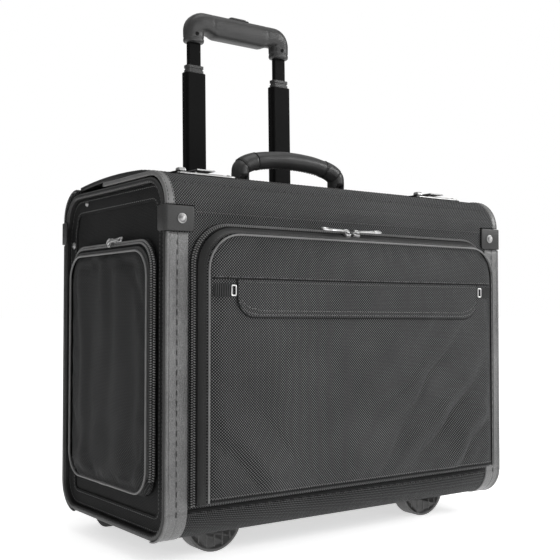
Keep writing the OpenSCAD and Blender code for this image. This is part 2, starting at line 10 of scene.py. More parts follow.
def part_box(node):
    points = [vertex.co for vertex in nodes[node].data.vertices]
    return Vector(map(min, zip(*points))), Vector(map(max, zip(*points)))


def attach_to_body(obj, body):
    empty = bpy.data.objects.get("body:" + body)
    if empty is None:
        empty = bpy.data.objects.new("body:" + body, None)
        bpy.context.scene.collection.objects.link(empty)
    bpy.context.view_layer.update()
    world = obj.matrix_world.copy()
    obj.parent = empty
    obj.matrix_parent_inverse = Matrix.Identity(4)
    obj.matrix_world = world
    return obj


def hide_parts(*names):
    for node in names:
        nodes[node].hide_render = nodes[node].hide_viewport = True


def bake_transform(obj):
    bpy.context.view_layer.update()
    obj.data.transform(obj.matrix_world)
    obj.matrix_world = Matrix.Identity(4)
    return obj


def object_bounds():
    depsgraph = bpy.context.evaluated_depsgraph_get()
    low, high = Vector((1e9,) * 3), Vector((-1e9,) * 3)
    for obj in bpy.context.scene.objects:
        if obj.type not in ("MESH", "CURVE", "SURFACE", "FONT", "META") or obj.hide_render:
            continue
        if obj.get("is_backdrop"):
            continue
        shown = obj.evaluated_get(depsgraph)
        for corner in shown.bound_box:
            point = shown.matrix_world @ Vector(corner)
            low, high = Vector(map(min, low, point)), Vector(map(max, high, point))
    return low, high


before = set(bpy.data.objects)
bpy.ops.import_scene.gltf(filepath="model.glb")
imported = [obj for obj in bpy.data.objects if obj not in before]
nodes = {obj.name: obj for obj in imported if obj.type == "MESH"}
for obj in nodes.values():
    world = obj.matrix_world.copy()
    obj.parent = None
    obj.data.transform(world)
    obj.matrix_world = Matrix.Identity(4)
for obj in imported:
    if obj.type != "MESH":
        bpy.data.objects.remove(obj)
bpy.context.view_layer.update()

MM = 0.001
RIM_BASE = 21.0
RIM_LO, RIM_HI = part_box("left_end_rim")
MIDDLE_Y = (RIM_LO.y + RIM_HI.y) / 2
LIFT = round(RIM_LO.z / MM - RIM_BASE, 2)
scene = bpy.context.scene
UP = Vector((0, 0, 1))


def mm(x, y, z):
    return Vector((x * MM, y * MM, z * MM))


def at(x, y, z):
    """Millimetres in the case's own frame, whose middle is the rims' middle, to the row frame."""
    return Vector((x * MM, y * MM + MIDDLE_Y, (z + LIFT) * MM))


def case_box(node):
    """A CAD node's corners in millimetres, in the case's own frame."""
    lo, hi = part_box(node)
    shift = Vector((0, MIDDLE_Y, LIFT * MM))
    return (lo - shift) / MM, (hi - shift) / MM


# ---------------------------------------------------------------- materials

def node(tree, kind, inputs=None, **props):
    made = tree.nodes.new(kind)
    for key, value in props.items():
        setattr(made, key, value)
    for key, value in (inputs or {}).items():
        if isinstance(value, bpy.types.NodeSocket):
            tree.links.new(value, made.inputs[key])
        else:
            made.inputs[key].default_value = value
    return made


def calc(tree, op, a, b=None, clamp=False):
    inputs = {0: a} if b is None else {0: a, 1: b}
    return node(tree, "ShaderNodeMath", inputs, operation=op, use_clamp=clamp).outputs[0]


def add(tree, a, b):
    return calc(tree, "ADD", a, b)


def sub(tree, a, b):
    return calc(tree, "SUBTRACT", a, b)


def mul(tree, a, b):
    return calc(tree, "MULTIPLY", a, b)


def spots(tree, noise_out, power):
    """Only the highest places of a noise, as small spots."""
    return calc(tree, "POWER", noise_out, power, clamp=True)


def mix_colour(tree, fac, a, b, blend="MIX"):
    made = node(tree, "ShaderNodeMix", data_type="RGBA", blend_type=blend)
    for key, value in ((0, fac), (6, a), (7, b)):
        if isinstance(value, bpy.types.NodeSocket):
            tree.links.new(value, made.inputs[key])
        else:
            made.inputs[key].default_value = value
    return made.outputs[2]


def ramp(tree, fac, stops, smooth=False):
    made = node(tree, "ShaderNodeValToRGB", {0: fac})
    made.color_ramp.interpolation = "EASE" if smooth else "LINEAR"
    while len(made.color_ramp.elements) < len(stops):
        made.color_ramp.elements.new(0.5)
    for element, (pos, value) in zip(made.color_ramp.elements, stops):
        element.position = pos
        element.color = value if len(value) == 4 else (*value, 1)
    return made.outputs[0]


def grey(v, warm=0.0):
    return (v * (1 + warm), v, v * (1 - warm), 1)


def new_material(name, **shader):
    mat = bpy.data.materials.new(name)
    mat.use_nodes = True
    tree = mat.node_tree
    tree.nodes.clear()
    out = node(tree, "ShaderNodeOutputMaterial")
    bsdf = node(tree, "ShaderNodeBsdfPrincipled")
    tree.links.new(bsdf.outputs[0], out.inputs[0])
    for key, value in shader.items():
        bsdf.inputs[key.replace("_", " ")].default_value = value
    return mat, tree, bsdf


def attach(tree, bsdf, colour, rough=None, height=None, distance=0.0003, strength=1.0):
    tree.links.new(colour, bsdf.inputs["Base Color"])
    if rough is not None:
        tree.links.new(rough, bsdf.inputs["Roughness"])
    if height is not None:
        bump = node(tree, "ShaderNodeBump",
                    {"Height": height, "Distance": distance, "Strength": strength})
        tree.links.new(bump.outputs[0], bsdf.inputs["Normal"])


AXES = {"xz": (0, 2), "yz": (1, 2), "xy": (0, 1)}


def object_place(tree):
    return node(tree, "ShaderNodeTexCoord").outputs["Object"]


def flat_place(tree, plane):
    """(u, v) sockets in metres: from the piece's own cloth map, or straight from two object axes."""
    if plane is None:
        place = node(tree, "ShaderNodeUVMap", uv_map="Cloth").outputs[0]
        split = node(tree, "ShaderNodeSeparateXYZ", {0: place})
        return split.outputs[0], split.outputs[1]
    place = object_place(tree)
    split = node(tree, "ShaderNodeSeparateXYZ", {0: place})
    return split.outputs[AXES[plane][0]], split.outputs[AXES[plane][1]]


def object_noise(tree, scale, detail=4.0, rough=0.55, distortion=0.0):
    return node(tree, "ShaderNodeTexNoise",
                {"Vector": object_place(tree), "Scale": scale, "Detail": detail,
                 "Roughness": rough, "Distortion": distortion}).outputs[0]


def woven(name, plane=None, pitch=1.45, dark=0.002, light=0.15, rough=0.6, bump=0.35, tilt=0.0,
          ribs=False, low=0.12):
    """Plain-woven nylon: warp and weft yarns of the given pitch pass over each other in turn; the colour
    carries painted sheen on the yarns on top and painted shade in their dips.
    """
    mat, tree, bsdf = new_material(
        name, Sheen_Weight=0.01, Sheen_Roughness=0.5, Specular_IOR_Level=0.1)
    bsdf.inputs["Sheen Tint"].default_value = (0.85, 0.86, 0.88, 1)
    u, v = flat_place(tree, plane)
    wobble = mul(tree, sub(tree, object_noise(tree, 70, 2), 0.5), 0.35)
    u = add(tree, mul(tree, u, 1 / (pitch * MM)), wobble)
    v = add(tree, mul(tree, v, 1 / (pitch * MM)), wobble)
    if tilt:
        u, v = (add(tree, mul(tree, u, cos(tilt)), mul(tree, v, sin(tilt))),
                sub(tree, mul(tree, v, cos(tilt)), mul(tree, u, sin(tilt))))
    cell = add(tree, calc(tree, "FLOOR", u), calc(tree, "FLOOR", v))
    over = calc(tree, "FLOORED_MODULO", cell, 2.0)
    if ribs:
        over = calc(tree, "FLOORED_MODULO", calc(tree, "FLOOR", u), 2.0)
    fu = sub(tree, mul(tree, calc(tree, "FRACT", u), 2.0), 1.0)
    fv = sub(tree, mul(tree, calc(tree, "FRACT", v), 2.0), 1.0)
    round_u = sub(tree, 1.0, mul(tree, fu, fu))
    round_v = sub(tree, 1.0, mul(tree, fv, fv))
    # Each yarn is round across itself and dips at both ends, where it goes under its neighbour.
    warp = mul(tree, round_u, add(tree, 0.35, mul(tree, round_v, 0.65)))
    weft = mul(tree, round_v, add(tree, 0.35, mul(tree, round_u, 0.65)))
    height = add(tree, mul(tree, warp, over),
                  mul(tree, weft, sub(tree, 1.0, over)))
    fibre = object_noise(tree, 2600, 2)
    # Painted light: yarns lying on top and the crowns of all yarns are painted lighter as sheen, and the
    # dips and the yarns underneath are painted darker as shade. low sets how light the under yarns are
    # painted.
    tone = mul(tree, height, add(tree, low, mul(tree, over, 1.0 - low)))
    tone = mul(tree, tone, add(tree, 0.7, mul(tree, fibre, 0.6)))
    cloudy = ramp(tree, object_noise(tree, 14, 5, 0.6), [(0.3, grey(0.82)), (0.7, grey(1.12))])
    colour = ramp(tree, tone, [(0.1, grey(dark, -0.02)), (0.5, grey(dark + (light - dark) * 0.6)),
                               (0.85, grey(light, -0.02))])
    colour = mix_colour(tree, 1.0, colour, cloudy, "MULTIPLY")
    dust = spots(tree, object_noise(tree, 45, 6, 0.7), 7.0)
    colour = mix_colour(tree, mul(tree, dust, 0.35), colour, grey(0.09))
    roughness = add(tree, rough - 0.08, mul(tree, sub(tree, 1.0, height), 0.2))
    attach(tree, bsdf, colour, roughness, add(tree, height, mul(tree, fibre, 0.15)),
           bump * MM, 0.9)
    return mat


def grained(name, base=0.03, light=0.06, rough=0.4, scale=900, depth=0.12, wear=0.25, sheen=0.0,
            coat=0.0, painted_glints=0.0, gloss=0.3):
    """Vinyl, leather or moulded plastic: a pebbled grain, cloudy tone and rubbed high spots."""
    mat, tree, bsdf = new_material(name, Specular_IOR_Level=gloss)
    bsdf.inputs["Sheen Weight"].default_value = sheen
    bsdf.inputs["Coat Weight"].default_value = coat
    bsdf.inputs["Coat Roughness"].default_value = 0.3
    place = object_place(tree)
    warp = node(tree, "ShaderNodeTexNoise", {"Vector": place, "Scale": scale * 0.5, "Detail": 2.0})
    bent = node(tree, "ShaderNodeVectorMath", {0: place}, operation="ADD")
    small = node(tree, "ShaderNodeVectorMath", {0: warp.outputs[1]}, operation="SCALE")
    small.inputs["Scale"].default_value = 0.6 / scale
    tree.links.new(small.outputs[0], bent.inputs[1])
    pebble = node(tree, "ShaderNodeTexVoronoi",
                  {"Vector": bent.outputs[0], "Scale": scale, "Randomness": 0.9}, feature="F1").outputs[0]
    fold = node(tree, "ShaderNodeTexNoise",
                {"Vector": place, "Scale": scale * 0.22, "Detail": 5.0, "Roughness": 0.65}).outputs[0]
    height = add(tree, sub(tree, 1.0, mul(tree, pebble, 1.3)),
                  mul(tree, fold, 0.9))
    cloudy = object_noise(tree, 22, 5, 0.6)
    colour = ramp(tree, cloudy, [(0.3, grey(base, 0.01)), (0.75, grey(light, 0.0))])
    # Pebble tops are painted lighter and the pits between them darker: painted light and shade in the
    # grain.
    pits = ramp(tree, pebble, [(0.0, grey(1.15)), (0.75, grey(0.7))])
    colour = mix_colour(tree, 1.0, colour, pits, "MULTIPLY")
    # Small pale flecks in the grain: painted glints where the grain catches the light.
    if painted_glints:
        glint_mask = spots(tree, object_noise(tree, scale * 1.7, 2, 0.8), 5.0)
        colour = mix_colour(tree, mul(tree, glint_mask, painted_glints), colour, grey(0.6))
    rubbed = spots(tree, object_noise(tree, 60, 6, 0.75), 4.0)
    colour = mix_colour(tree, mul(tree, rubbed, wear), colour, grey(light * 2.2))
    roughness = add(tree, rough - 0.06,
                     mul(tree, add(tree, fold, rubbed), 0.14))
    attach(tree, bsdf, colour, roughness, height, depth * MM, 0.8)
    return mat


def metal(name, base=0.6, rough=0.2, brushed=(1, 1, 1), scratch=0.5, black=False):
    """Plated or anodised metal: faint scratches along one direction, smudges and dulled patches."""
    mat, tree, bsdf = new_material(name, Metallic=0.0 if black else 1.0,
                                   Specular_IOR_Level=0.06 if black else 0.5)
    place = object_place(tree)
    stretch = node(tree, "ShaderNodeVectorMath", {0: place}, operation="MULTIPLY")
    stretch.inputs[1].default_value = brushed
    lines = node(tree, "ShaderNodeTexNoise",
                 {"Vector": stretch.outputs[0], "Scale": 900.0, "Detail": 3.0, "Roughness": 0.7}).outputs[0]
    smudge = object_noise(tree, 90, 5, 0.6)
    colour = ramp(tree, smudge, [(0.25, grey(base * 0.82, 0.01)), (0.8, grey(base * 1.08))])
    streaks = ramp(tree, lines, [(0.3, grey(base * 0.75)), (0.7, grey(base * 1.15))])
    colour = mix_colour(tree, 0.35, colour, streaks)
    pits = spots(tree, object_noise(tree, 500, 3, 0.7), 8.0)
    colour = mix_colour(tree, mul(tree, pits, scratch), colour,
                        grey(base * (2.5 if black else 0.35)))
    roughness = add(tree, rough, mul(tree, add(tree, smudge, lines), 0.12))
    attach(tree, bsdf, colour, roughness, lines, 0.02 * MM, 0.5)
    return mat


def thread_material(name, base=0.02):
    mat, tree, bsdf = new_material(name, Sheen_Weight=0.3, Specular_IOR_Level=0.4)
    place = object_place(tree)
    twist = node(tree, "ShaderNodeTexWave", {"Vector": place, "Scale": 900.0, "Distortion": 2.0},
                 wave_type="BANDS", bands_direction="DIAGONAL").outputs[1]
    fuzz = object_noise(tree, 1800, 3)
    # The twist's ridges are painted lighter and its grooves darker: painted highlight and shade on the
    # plies.
    colour = ramp(tree, mul(tree, twist, fuzz),
                  [(0.1, grey(base * 0.5)), (0.6, grey(base * 1.8))])
    roughness = add(tree, 0.5, mul(tree, fuzz, 0.3))
    attach(tree, bsdf, colour, roughness, twist, 0.1 * MM, 0.6)
    return mat


NYLON = woven("ballistic_nylon", light=0.135)
NYLON_XZ = woven("ballistic_nylon_front", "xz")
# The end panels and their bands get a much darker copy of the same nylon: painted shade on the faces turned
# away from the lights.
NYLON_END_SHADED = woven("ballistic_nylon_end_shaded", "yz", light=0.022)
NYLON_XY = woven("ballistic_nylon_floor", "xy", light=0.1)
NYLON_TOP = woven("ballistic_nylon_lid", light=0.15)
NYLON_FOLD = woven("ballistic_nylon_fold", light=0.1, tilt=0.6)
# The side pockets get a darker, lower-contrast copy of the same nylon: painted shade.
NYLON_SIDE_SHADED = woven("ballistic_nylon_side_shaded", light=0.06, low=0.3)
WEBBING = woven("ribbed_webbing", pitch=1.1, dark=0.008, light=0.06, ribs=True, bump=0.4)
TAPE = woven("zip_tape", pitch=0.7, dark=0.006, light=0.03, rough=0.7, bump=0.2)
LINING = woven("lining_cloth", pitch=0.6, dark=0.03, light=0.07, rough=0.8, bump=0.12)
VINYL = grained("bound_vinyl", 0.016, 0.03, 0.36, 1300, 0.05, wear=0.2)
# The piping and the front lid's end bindings get a much lighter copy of the dark bound vinyl: painted
# highlight along their glossy rounded edges.
VINYL_PAINTED_HIGHLIGHT = grained("piping_vinyl_painted_highlight", 0.12, 0.17, 0.34, 1500, 0.04, wear=0.3)
GUSSET = grained("gusset_vinyl", 0.016, 0.026, 0.42, 1500, 0.05, wear=0.2)
LEATHER = grained("corner_leather", 0.04, 0.12, 0.3, 700, 0.35, wear=0.7, painted_glints=1.0, gloss=0.7)
TAB_LEATHER = grained("tab_leather", 0.022, 0.035, 0.42, 1100, 0.08, wear=0.2)
HANDLE_LEATHER = grained("handle_leather", 0.022, 0.038, 0.36, 1200, 0.07, wear=0.3)
BLACK_PLASTIC = grained("black_plastic", 0.012, 0.018, 0.4, 2600, 0.03, wear=0.2)
GREY_PLASTIC = grained("grey_plastic", 0.03, 0.04, 0.36, 2400, 0.04, wear=0.25)
FOOT_PLASTIC = grained("foot_plastic", 0.1, 0.14, 0.5, 1600, 0.05, wear=0.35)
RUBBER = grained("tyre_rubber", 0.012, 0.02, 0.7, 1400, 0.06, wear=0.5)
CHROME = metal("chrome_plate", 0.6, 0.17, (1, 1, 1), 0.4)
SATIN = metal("satin_nickel", 0.34, 0.3, (1, 1, 1), 0.5)
STEEL = metal("brushed_steel", 0.5, 0.25, (0.05, 1, 1), 0.4)
ALUMINIUM = metal("black_anodised", 0.002, 0.42, (1, 1, 0.03), 0.3, black=True)
DARK_METAL = metal("dark_plate", 0.01, 0.35, (0.2, 1, 1), 0.4, black=True)
THREAD = thread_material("black_thread", 0.012)
GREY_THREAD = thread_material("grey_thread", 0.06)


# ---------------------------------------------------------------- mesh helpers

def piece(name, verts, faces, mat, body, replaces=(), uvs=None, sharp=None):
    """A mesh piece. uvs is one (u, v) list per face in metres; without it each face is mapped
    along the two axes that it faces least."""
    me = bpy.data.meshes.new(name)
    me.from_pydata([tuple(v) for v in verts], [], faces)
    me.validate()
    bm = bmesh.new()
    bm.from_mesh(me)
    if uvs is None:
        bmesh.ops.recalc_face_normals(bm, faces=bm.faces)
    bm.to_mesh(me)
    bm.free()
    layer = me.uv_layers.new(name="Cloth")
    if uvs is not None and len(uvs) == len(me.polygons):
        for poly, corners in zip(me.polygons, uvs):
            for loop, uv in zip(poly.loop_indices, corners):
                layer.data[loop].uv = uv
    else:
        box_map(me, layer)
    obj = bpy.data.objects.new(name, me)
    scene.collection.objects.link(obj)
    me.shade_smooth()
    if sharp is not None:
        me.set_sharp_from_angle(angle=radians(sharp))
    me.materials.append(mat)
    if body:
        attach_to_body(obj, body)
    if replaces:
        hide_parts(*replaces)
    return obj


def box_map(me, layer=None):
    layer = layer or me.uv_layers.new(name="Cloth")
    for poly in me.polygons:
        n = [abs(c) for c in poly.normal]
        axis = n.index(max(n))
        a, b = ((1, 2), (0, 2), (0, 1))[axis]
        for loop in poly.loop_indices:
            co = me.vertices[me.loops[loop].vertex_index].co
            layer.data[loop].uv = (co[a], co[b])


def lengths(path):
    """Millimetres run from the path's first point to each of its points."""
    run = [0.0]
    for a, b in zip(path, path[1:]):
        run.append(run[-1] + (b - a).length / MM)
    return run


def each(normals, path):
    """One normal for each point of a path; a single vector serves them all."""
    return [normals] * len(path) if isinstance(normals, Vector) else normals


def ring_faces(count, size, closed=False):
    """Quads between rings of equal size that follow each other, and caps if it isn't closed."""
    faces = []
    for i in range(count if closed else count - 1):
        j = (i + 1) % count
        for k in range(size):
            m = (k + 1) % size
            faces.append((i * size + k, i * size + m, j * size + m, j * size + k))
    if not closed:
        faces.append(tuple(range(size - 1, -1, -1)))
        faces.append(tuple((count - 1) * size + k for k in range(size)))
    return faces


def sheet_faces(rows, cols):
    """Faces of a closed sheet whose points are its top's rows and then its underside's."""
    under = rows * cols
    faces = []
    for i in range(rows - 1):
        for a in range(i * cols, i * cols + cols - 1):
            faces.append((a, a + 1, a + cols + 1, a + cols))
            faces.append((under + a, under + a + cols, under + a + cols + 1, under + a + 1))
    for i in range(rows - 1):
        for j in (0, cols - 1):
            a = i * cols + j
            faces.append((a, a + cols, under + a + cols, under + a)[::-1 if j else 1])
    for j in range(cols - 1):
        for i in (0, rows - 1):
            a = i * cols + j
            faces.append((a, under + a, under + a + 1, a + 1)[::-1 if i else 1])
    return faces


def tangents(path, closed):
    out = []
    count = len(path)
    for i in range(count):
        a = path[(i - 1) % count] if closed or i else path[0]
        b = path[(i + 1) % count] if closed or i < count - 1 else path[-1]
        out.append((b - a).normalized())
    return out


def carried_normals(path, closed, first):
    """Normals carried along the path with the least twist, starting near first."""
    dirs = tangents(path, closed)
    normal = (first - dirs[0] * first.dot(dirs[0])).normalized()
    out = [normal]
    for d in dirs[1:]:
        normal = (normal - d * normal.dot(d)).normalized()
        out.append(normal)
    return out


def sweep_data(path, section, normals, closed=False, grow=None):
    """Verts, faces and map of a closed section swept along a path. A section point (a, b) lies a
    along the normal and b across it; grow gives a scale for each path point."""
    dirs = tangents(path, closed)
    normals = each(normals, path)
    size, rings = len(section), len(path)
    verts, uvs = [], []
    run = [0.0]
    for i in range(1, len(path) + 1):
        run.append(run[-1] + (path[i % len(path)] - path[i - 1]).length)
    around = [0.0]
    for i in range(1, size + 1):
        a, b = section[i % size], section[i - 1]
        around.append(around[-1] + hypot(a[0] - b[0], a[1] - b[1]))
    for i, p in enumerate(path):
        n = (normals[i] - dirs[i] * normals[i].dot(dirs[i])).normalized()
        side = dirs[i].cross(n)
        g = grow[i] if grow else 1.0
        ga, gb = g if isinstance(g, tuple) else (g, g)
        verts += [p + n * (a * ga) + side * (b * gb) for a, b in section]
    for i in range(rings if closed else rings - 1):
        for k in range(size):
            uvs.append([(run[i], around[k]), (run[i], around[k + 1]),
                        (run[i + 1], around[k + 1]), (run[i + 1], around[k])])
    if not closed:
        uvs.append([section[k] for k in range(size - 1, -1, -1)])
        uvs.append([section[k] for k in range(size)])
    faces = ring_faces(rings, size, closed)
    return verts, faces, uvs


def outward(verts, faces, uvs):
    """Turns every face over if the closed mesh is inside out."""
    volume = 0.0
    for f in faces:
        for i in range(1, len(f) - 1):
            volume += verts[f[0]].dot(verts[f[i]].cross(verts[f[i + 1]]))
    if volume < 0:
        faces = [tuple(reversed(f)) for f in faces]
        uvs = [list(reversed(u)) for u in uvs]
    return faces, uvs


def sweep(name, path, section, normals, mat, body, closed=False, replaces=(), grow=None, sharp=None):
    verts, faces, uvs = sweep_data(path, section, normals, closed, grow)
    faces, uvs = outward(verts, faces, uvs)
    return piece(name, verts, faces, mat, body, replaces, uvs, sharp=sharp)


def circle(r, sides=12, squash=1.0):
    """Round section of a radius in millimetres; squash widens it along b."""
    r *= MM
    return [(r * cos(2 * pi * k / sides), r * squash * sin(2 * pi * k / sides)) for k in range(sides)]


def soft_rect(a0, a1, b0, b1, r, seg=3):
    """Rounded rectangle section, in millimetres."""
    out = []
    for (ca, cb, start) in ((a1 - r, b1 - r, 0), (a0 + r, b1 - r, 90), (a0 + r, b0 + r, 180),
                            (a1 - r, b0 + r, 270)):
        for k in range(seg + 1):
            t = radians(start + 90 * k / seg)
            out.append(((ca + r * cos(t)) * MM, (cb + r * sin(t)) * MM))
    return out


def tube(name, path, r, mat, body, replaces, sides, first):
    """A closed round cord."""
    return sweep(name, path, circle(r, sides), carried_normals(path, True, first), mat, body,
                 True, replaces)


def resample(path, step, closed=False, normals=None):
    """Evenly spaced points, and normals if given, along a path."""
    pts = list(path) + ([path[0]] if closed else [])
    nor = (list(normals) + ([normals[0]] if closed else [])) if normals else None
    run = [0.0]
    for a, b in zip(pts, pts[1:]):
        run.append(run[-1] + (b - a).length)
    count = max(2, round(run[-1] / step))
    total = run[-1]
    out, out_n, k = [], [], 0
    for i in range(count if closed else count + 1):
        s = total * i / count
        while k < len(run) - 2 and run[k + 1] < s:
            k += 1
        t = (s - run[k]) / max(run[k + 1] - run[k], 1e-9)
        out.append(pts[k].lerp(pts[k + 1], t))
        if nor:
            out_n.append(nor[k].lerp(nor[k + 1], t).normalized())
    return (out, out_n) if nor else out


def beside(path, normals, lift, across):
    """A row beside a path, raised along its normals, in millimetres."""
    return [p + n * (lift * MM) + d.cross(n) * (across * MM)
            for p, n, d in zip(path, normals, tangents(path, False))]


def joined(parts):
    """Puts several (verts, faces) together; anything after these two is left out."""
    verts, faces = [], []
    for vs, fs, *_ in parts:
        base = len(verts)
        verts += vs
        faces += [tuple(i + base for i in f) for f in fs]
    return verts, faces


def group(name, parts, mat, body, replaces=(), sharp=None):
    return piece(name, *joined(parts), mat, body, replaces, sharp=sharp)


def bead(centre, along, normal, length, width, height):
    """One stitch or zip tooth: a small six-sided spindle lying on the surface."""
    side = along.cross(normal).normalized()
    verts = []
    for s, g in ((-0.5, 0.35), (-0.28, 0.95), (0.28, 0.95), (0.5, 0.35)):
        for k in range(6):
            t = 2 * pi * k / 6
            verts.append(centre + along * (s * length) + side * (cos(t) * width / 2 * g)
                         + normal * (sin(t) * height / 2 * g))
    return verts, ring_faces(4, 6)


def stitches(name, path, normals, mat, body, pitch=4.0, length=2.9, width=0.75, height=0.7,
             lift=0.1, closed=False, runs=None):
    """A row of stitches along the path, one bead each. runs adds further (path, normals) rows."""
    parts = []
    for p, n in [(path, normals)] + (runs or []):
        pts, nor = resample(p, pitch * MM, closed, each(n, p))
        for c, nn, d in zip(pts, nor, tangents(pts, closed)):
            parts.append(bead(c + nn * (lift * MM), d, nn, length * MM, width * MM, height * MM))
    return group(name, parts, mat, body)


def lathe(profile, centre, axis, sides=32):
    """Verts and faces of a profile [(r, h)] turned about an axis, in millimetres."""
    axis = axis.normalized()
    ref = UP if abs(axis.z) < 0.9 else Vector((1, 0, 0))
    a = axis.cross(ref).normalized()
    b = axis.cross(a)
    verts = []
    for r, h in profile:
        for k in range(sides):
            t = 2 * pi * k / sides
            verts.append(centre + axis * (h * MM) + (a * cos(t) + b * sin(t)) * (max(r, 0.01) * MM))
    return verts, ring_faces(len(profile), sides)


def bevelled(obj, width, segments=3, angle=30):
    mod = obj.modifiers.new("edges", "BEVEL")
    mod.width = width * MM
    mod.segments = segments
    mod.limit_method = "ANGLE"
    mod.angle_limit = radians(angle)
    mod.harden_normals = False
    obj.data.shade_smooth()
    return obj


def arc(cy, cz, r, a0, a1, n):
    """(y, z) points on an arc, angles in degrees, counted from +y towards +z."""
    return [(cy + r * cos(radians(a0 + (a1 - a0) * i / n)),
             cz + r * sin(radians(a0 + (a1 - a0) * i / n))) for i in range(n + 1)]


def paint(name, mat, bevel=None, segments=2):
    """Gives a CAD node a material and, if wanted, rounded edges."""
    obj = nodes[name]
    obj.data.materials.clear()
    obj.data.materials.append(mat)
    if bevel:
        bevelled(obj, bevel, segments)
    return obj


# ---------------------------------------------------------------- case body

REST_BASE = 21.0
FOLD_R = 31.0
LID_R = 35.0
HINGE_Z = 347.5
LID_TOP = LID_R + HINGE_Z
HALF_D = 121.0
HALF_W = 235.0
END_X = 228.0
LEFT, RIGHT = -1, 1
SIDES = ((LEFT, "left"), (RIGHT, "right"))


def end_loop(inset, x):
    """Closed outline of an end, inset in its plane, with outward normals."""
    g = inset
    half = arc(HALF_D - FOLD_R, REST_BASE + FOLD_R, FOLD_R - g, -90, 0, 10)
    half += [(HALF_D - g, z) for z in range(64, 340, 12)]
    half += [(HALF_D - g - 0.7, 340), (HALF_D - g - 3.6, 345)]
    half += arc(84.5, 345, 32 - g, 6, 90, 10)
    loop = half + [(-y, z) for y, z in reversed(half)]
    path = [at(x, y, z) for y, z in loop]
    normals = []
    for d in tangents(path, True):
        normals.append(Vector((0, d.z, -d.y)).normalized())
    return path, normals


for side, word in SIDES:
    face = Vector((side, 0, 0))
    path, out_n = end_loop(0, side * (HALF_W + 224.0) / 2)
    sweep(f"{word}_end_binding", path, soft_rect(-6, 0.1, -5.5, 5.5, 2.4, 4),
          out_n, VINYL, "case", True, [f"{word}_end_rim"])
    on_binding = [p + face * (5.45 * MM) - n * (4.6 * MM) for p, n in zip(path, out_n)]
    stitches(f"{word}_binding_stitches", on_binding, face, THREAD, "case", 4.5, 3, closed=True)
    path, out_n = end_loop(6.3, side * END_X)
    flip = -side
    low, high = sorted((flip * -0.2, flip * 1.3))
    sweep(f"{word}_end_band", path, soft_rect(-17.5, 0, low, high, 0.6, 2),
          out_n, NYLON_END_SHADED, "case", True)
    rows = []
    for depth in (2.6, 14.6):
        pts = [p - n * (depth * MM) + face * (1.3 * MM) for p, n in zip(path, out_n)]
        rows.append((pts, face))
    stitches(f"{word}_band_stitches", *rows[0], GREY_THREAD, "case", 4.2, 2.8, 0.8, 0.6, 0, True,
             rows[1:])
    paint(f"{word}_end_board", NYLON_END_SHADED)

for name, mat in (("front_board", NYLON_XZ), ("rear_board", NYLON_XZ), ("bottom_board", NYLON_XY),
                  ("rear_shoulder", NYLON_XZ), ("divider_panel", LINING)):
    paint(name, mat)


def profile_path(profile, x):
    """The points of a (y, z) profile at one x, and its normals."""
    path = [at(x, y, z) for y, z in profile]
    return path, [Vector((0, -d.z, d.y)) for d in tangents(path, False)]


def slab(name, profile, x0, x1, t, mat, body, relief=None, cols=60, replaces=()):
    """A closed sheet: profile is (y, z) along its outer face, in millimetres, running so that
    the outside is on its left; relief(x, s) raises the outer face."""
    line, normals = profile_path(profile, 0)
    run = lengths(line)
    rows = len(line)
    xs = [x0 + (x1 - x0) * j / cols for j in range(cols + 1)]
    verts, uv_of = [], []
    for face in (1, 0):
        for i in range(rows):
            for x in xs:
                up = relief(x, run[i]) if (relief and face) else (0 if face else -t)
                verts.append(line[i] + mm(x, 0, 0) + normals[i] * (up * MM))
                uv_of.append((x * MM, run[i] * MM))
    faces = sheet_faces(rows, cols + 1)
    uvs = [[uv_of[v] for v in f] for f in faces]
    faces, uvs = outward(verts, faces, uvs)
    return piece(name, verts, faces, mat, body, replaces, uvs, sharp=50)


# Leather strips up the four corners: a domed strap with a bound outer edge and a stitched middle.
STRIP_X = 222.5
# Half the clear width between the wheel cups.
WHEEL_GAP = case_box("right_wheel_tyre")[0].x - 9
STRIP_HALF = 12.5


def strap_section(half, top, outer, groove=0.5, bound=0.7, base=0.0):
    """Section of a strap: outer is the sign of the side that carries the bound edge."""
    pts = []
    steps = 40
    for i in range(steps + 1):
        b = -half + 2 * half * i / steps
        edge = min(1.0, (half - abs(b)) / 0.9)
        a = base + (top - base) * sqrt(max(0.0, 1 - (1 - edge) ** 2))
        if edge >= 1:
            a -= groove * exp(-(b / 0.9) ** 2)
        from_bound = (b * outer - (half - 2.0)) / 1.8
        if abs(from_bound) < 1:
            a += bound * sqrt(1 - from_bound ** 2)
        crease = (b * outer - (half - 4.3)) / 0.5
        a -= 0.25 * exp(-crease ** 2)
        pts.append((a * MM, b * MM))
    return pts + [(base * MM, half * MM), (base * MM, -half * MM)]


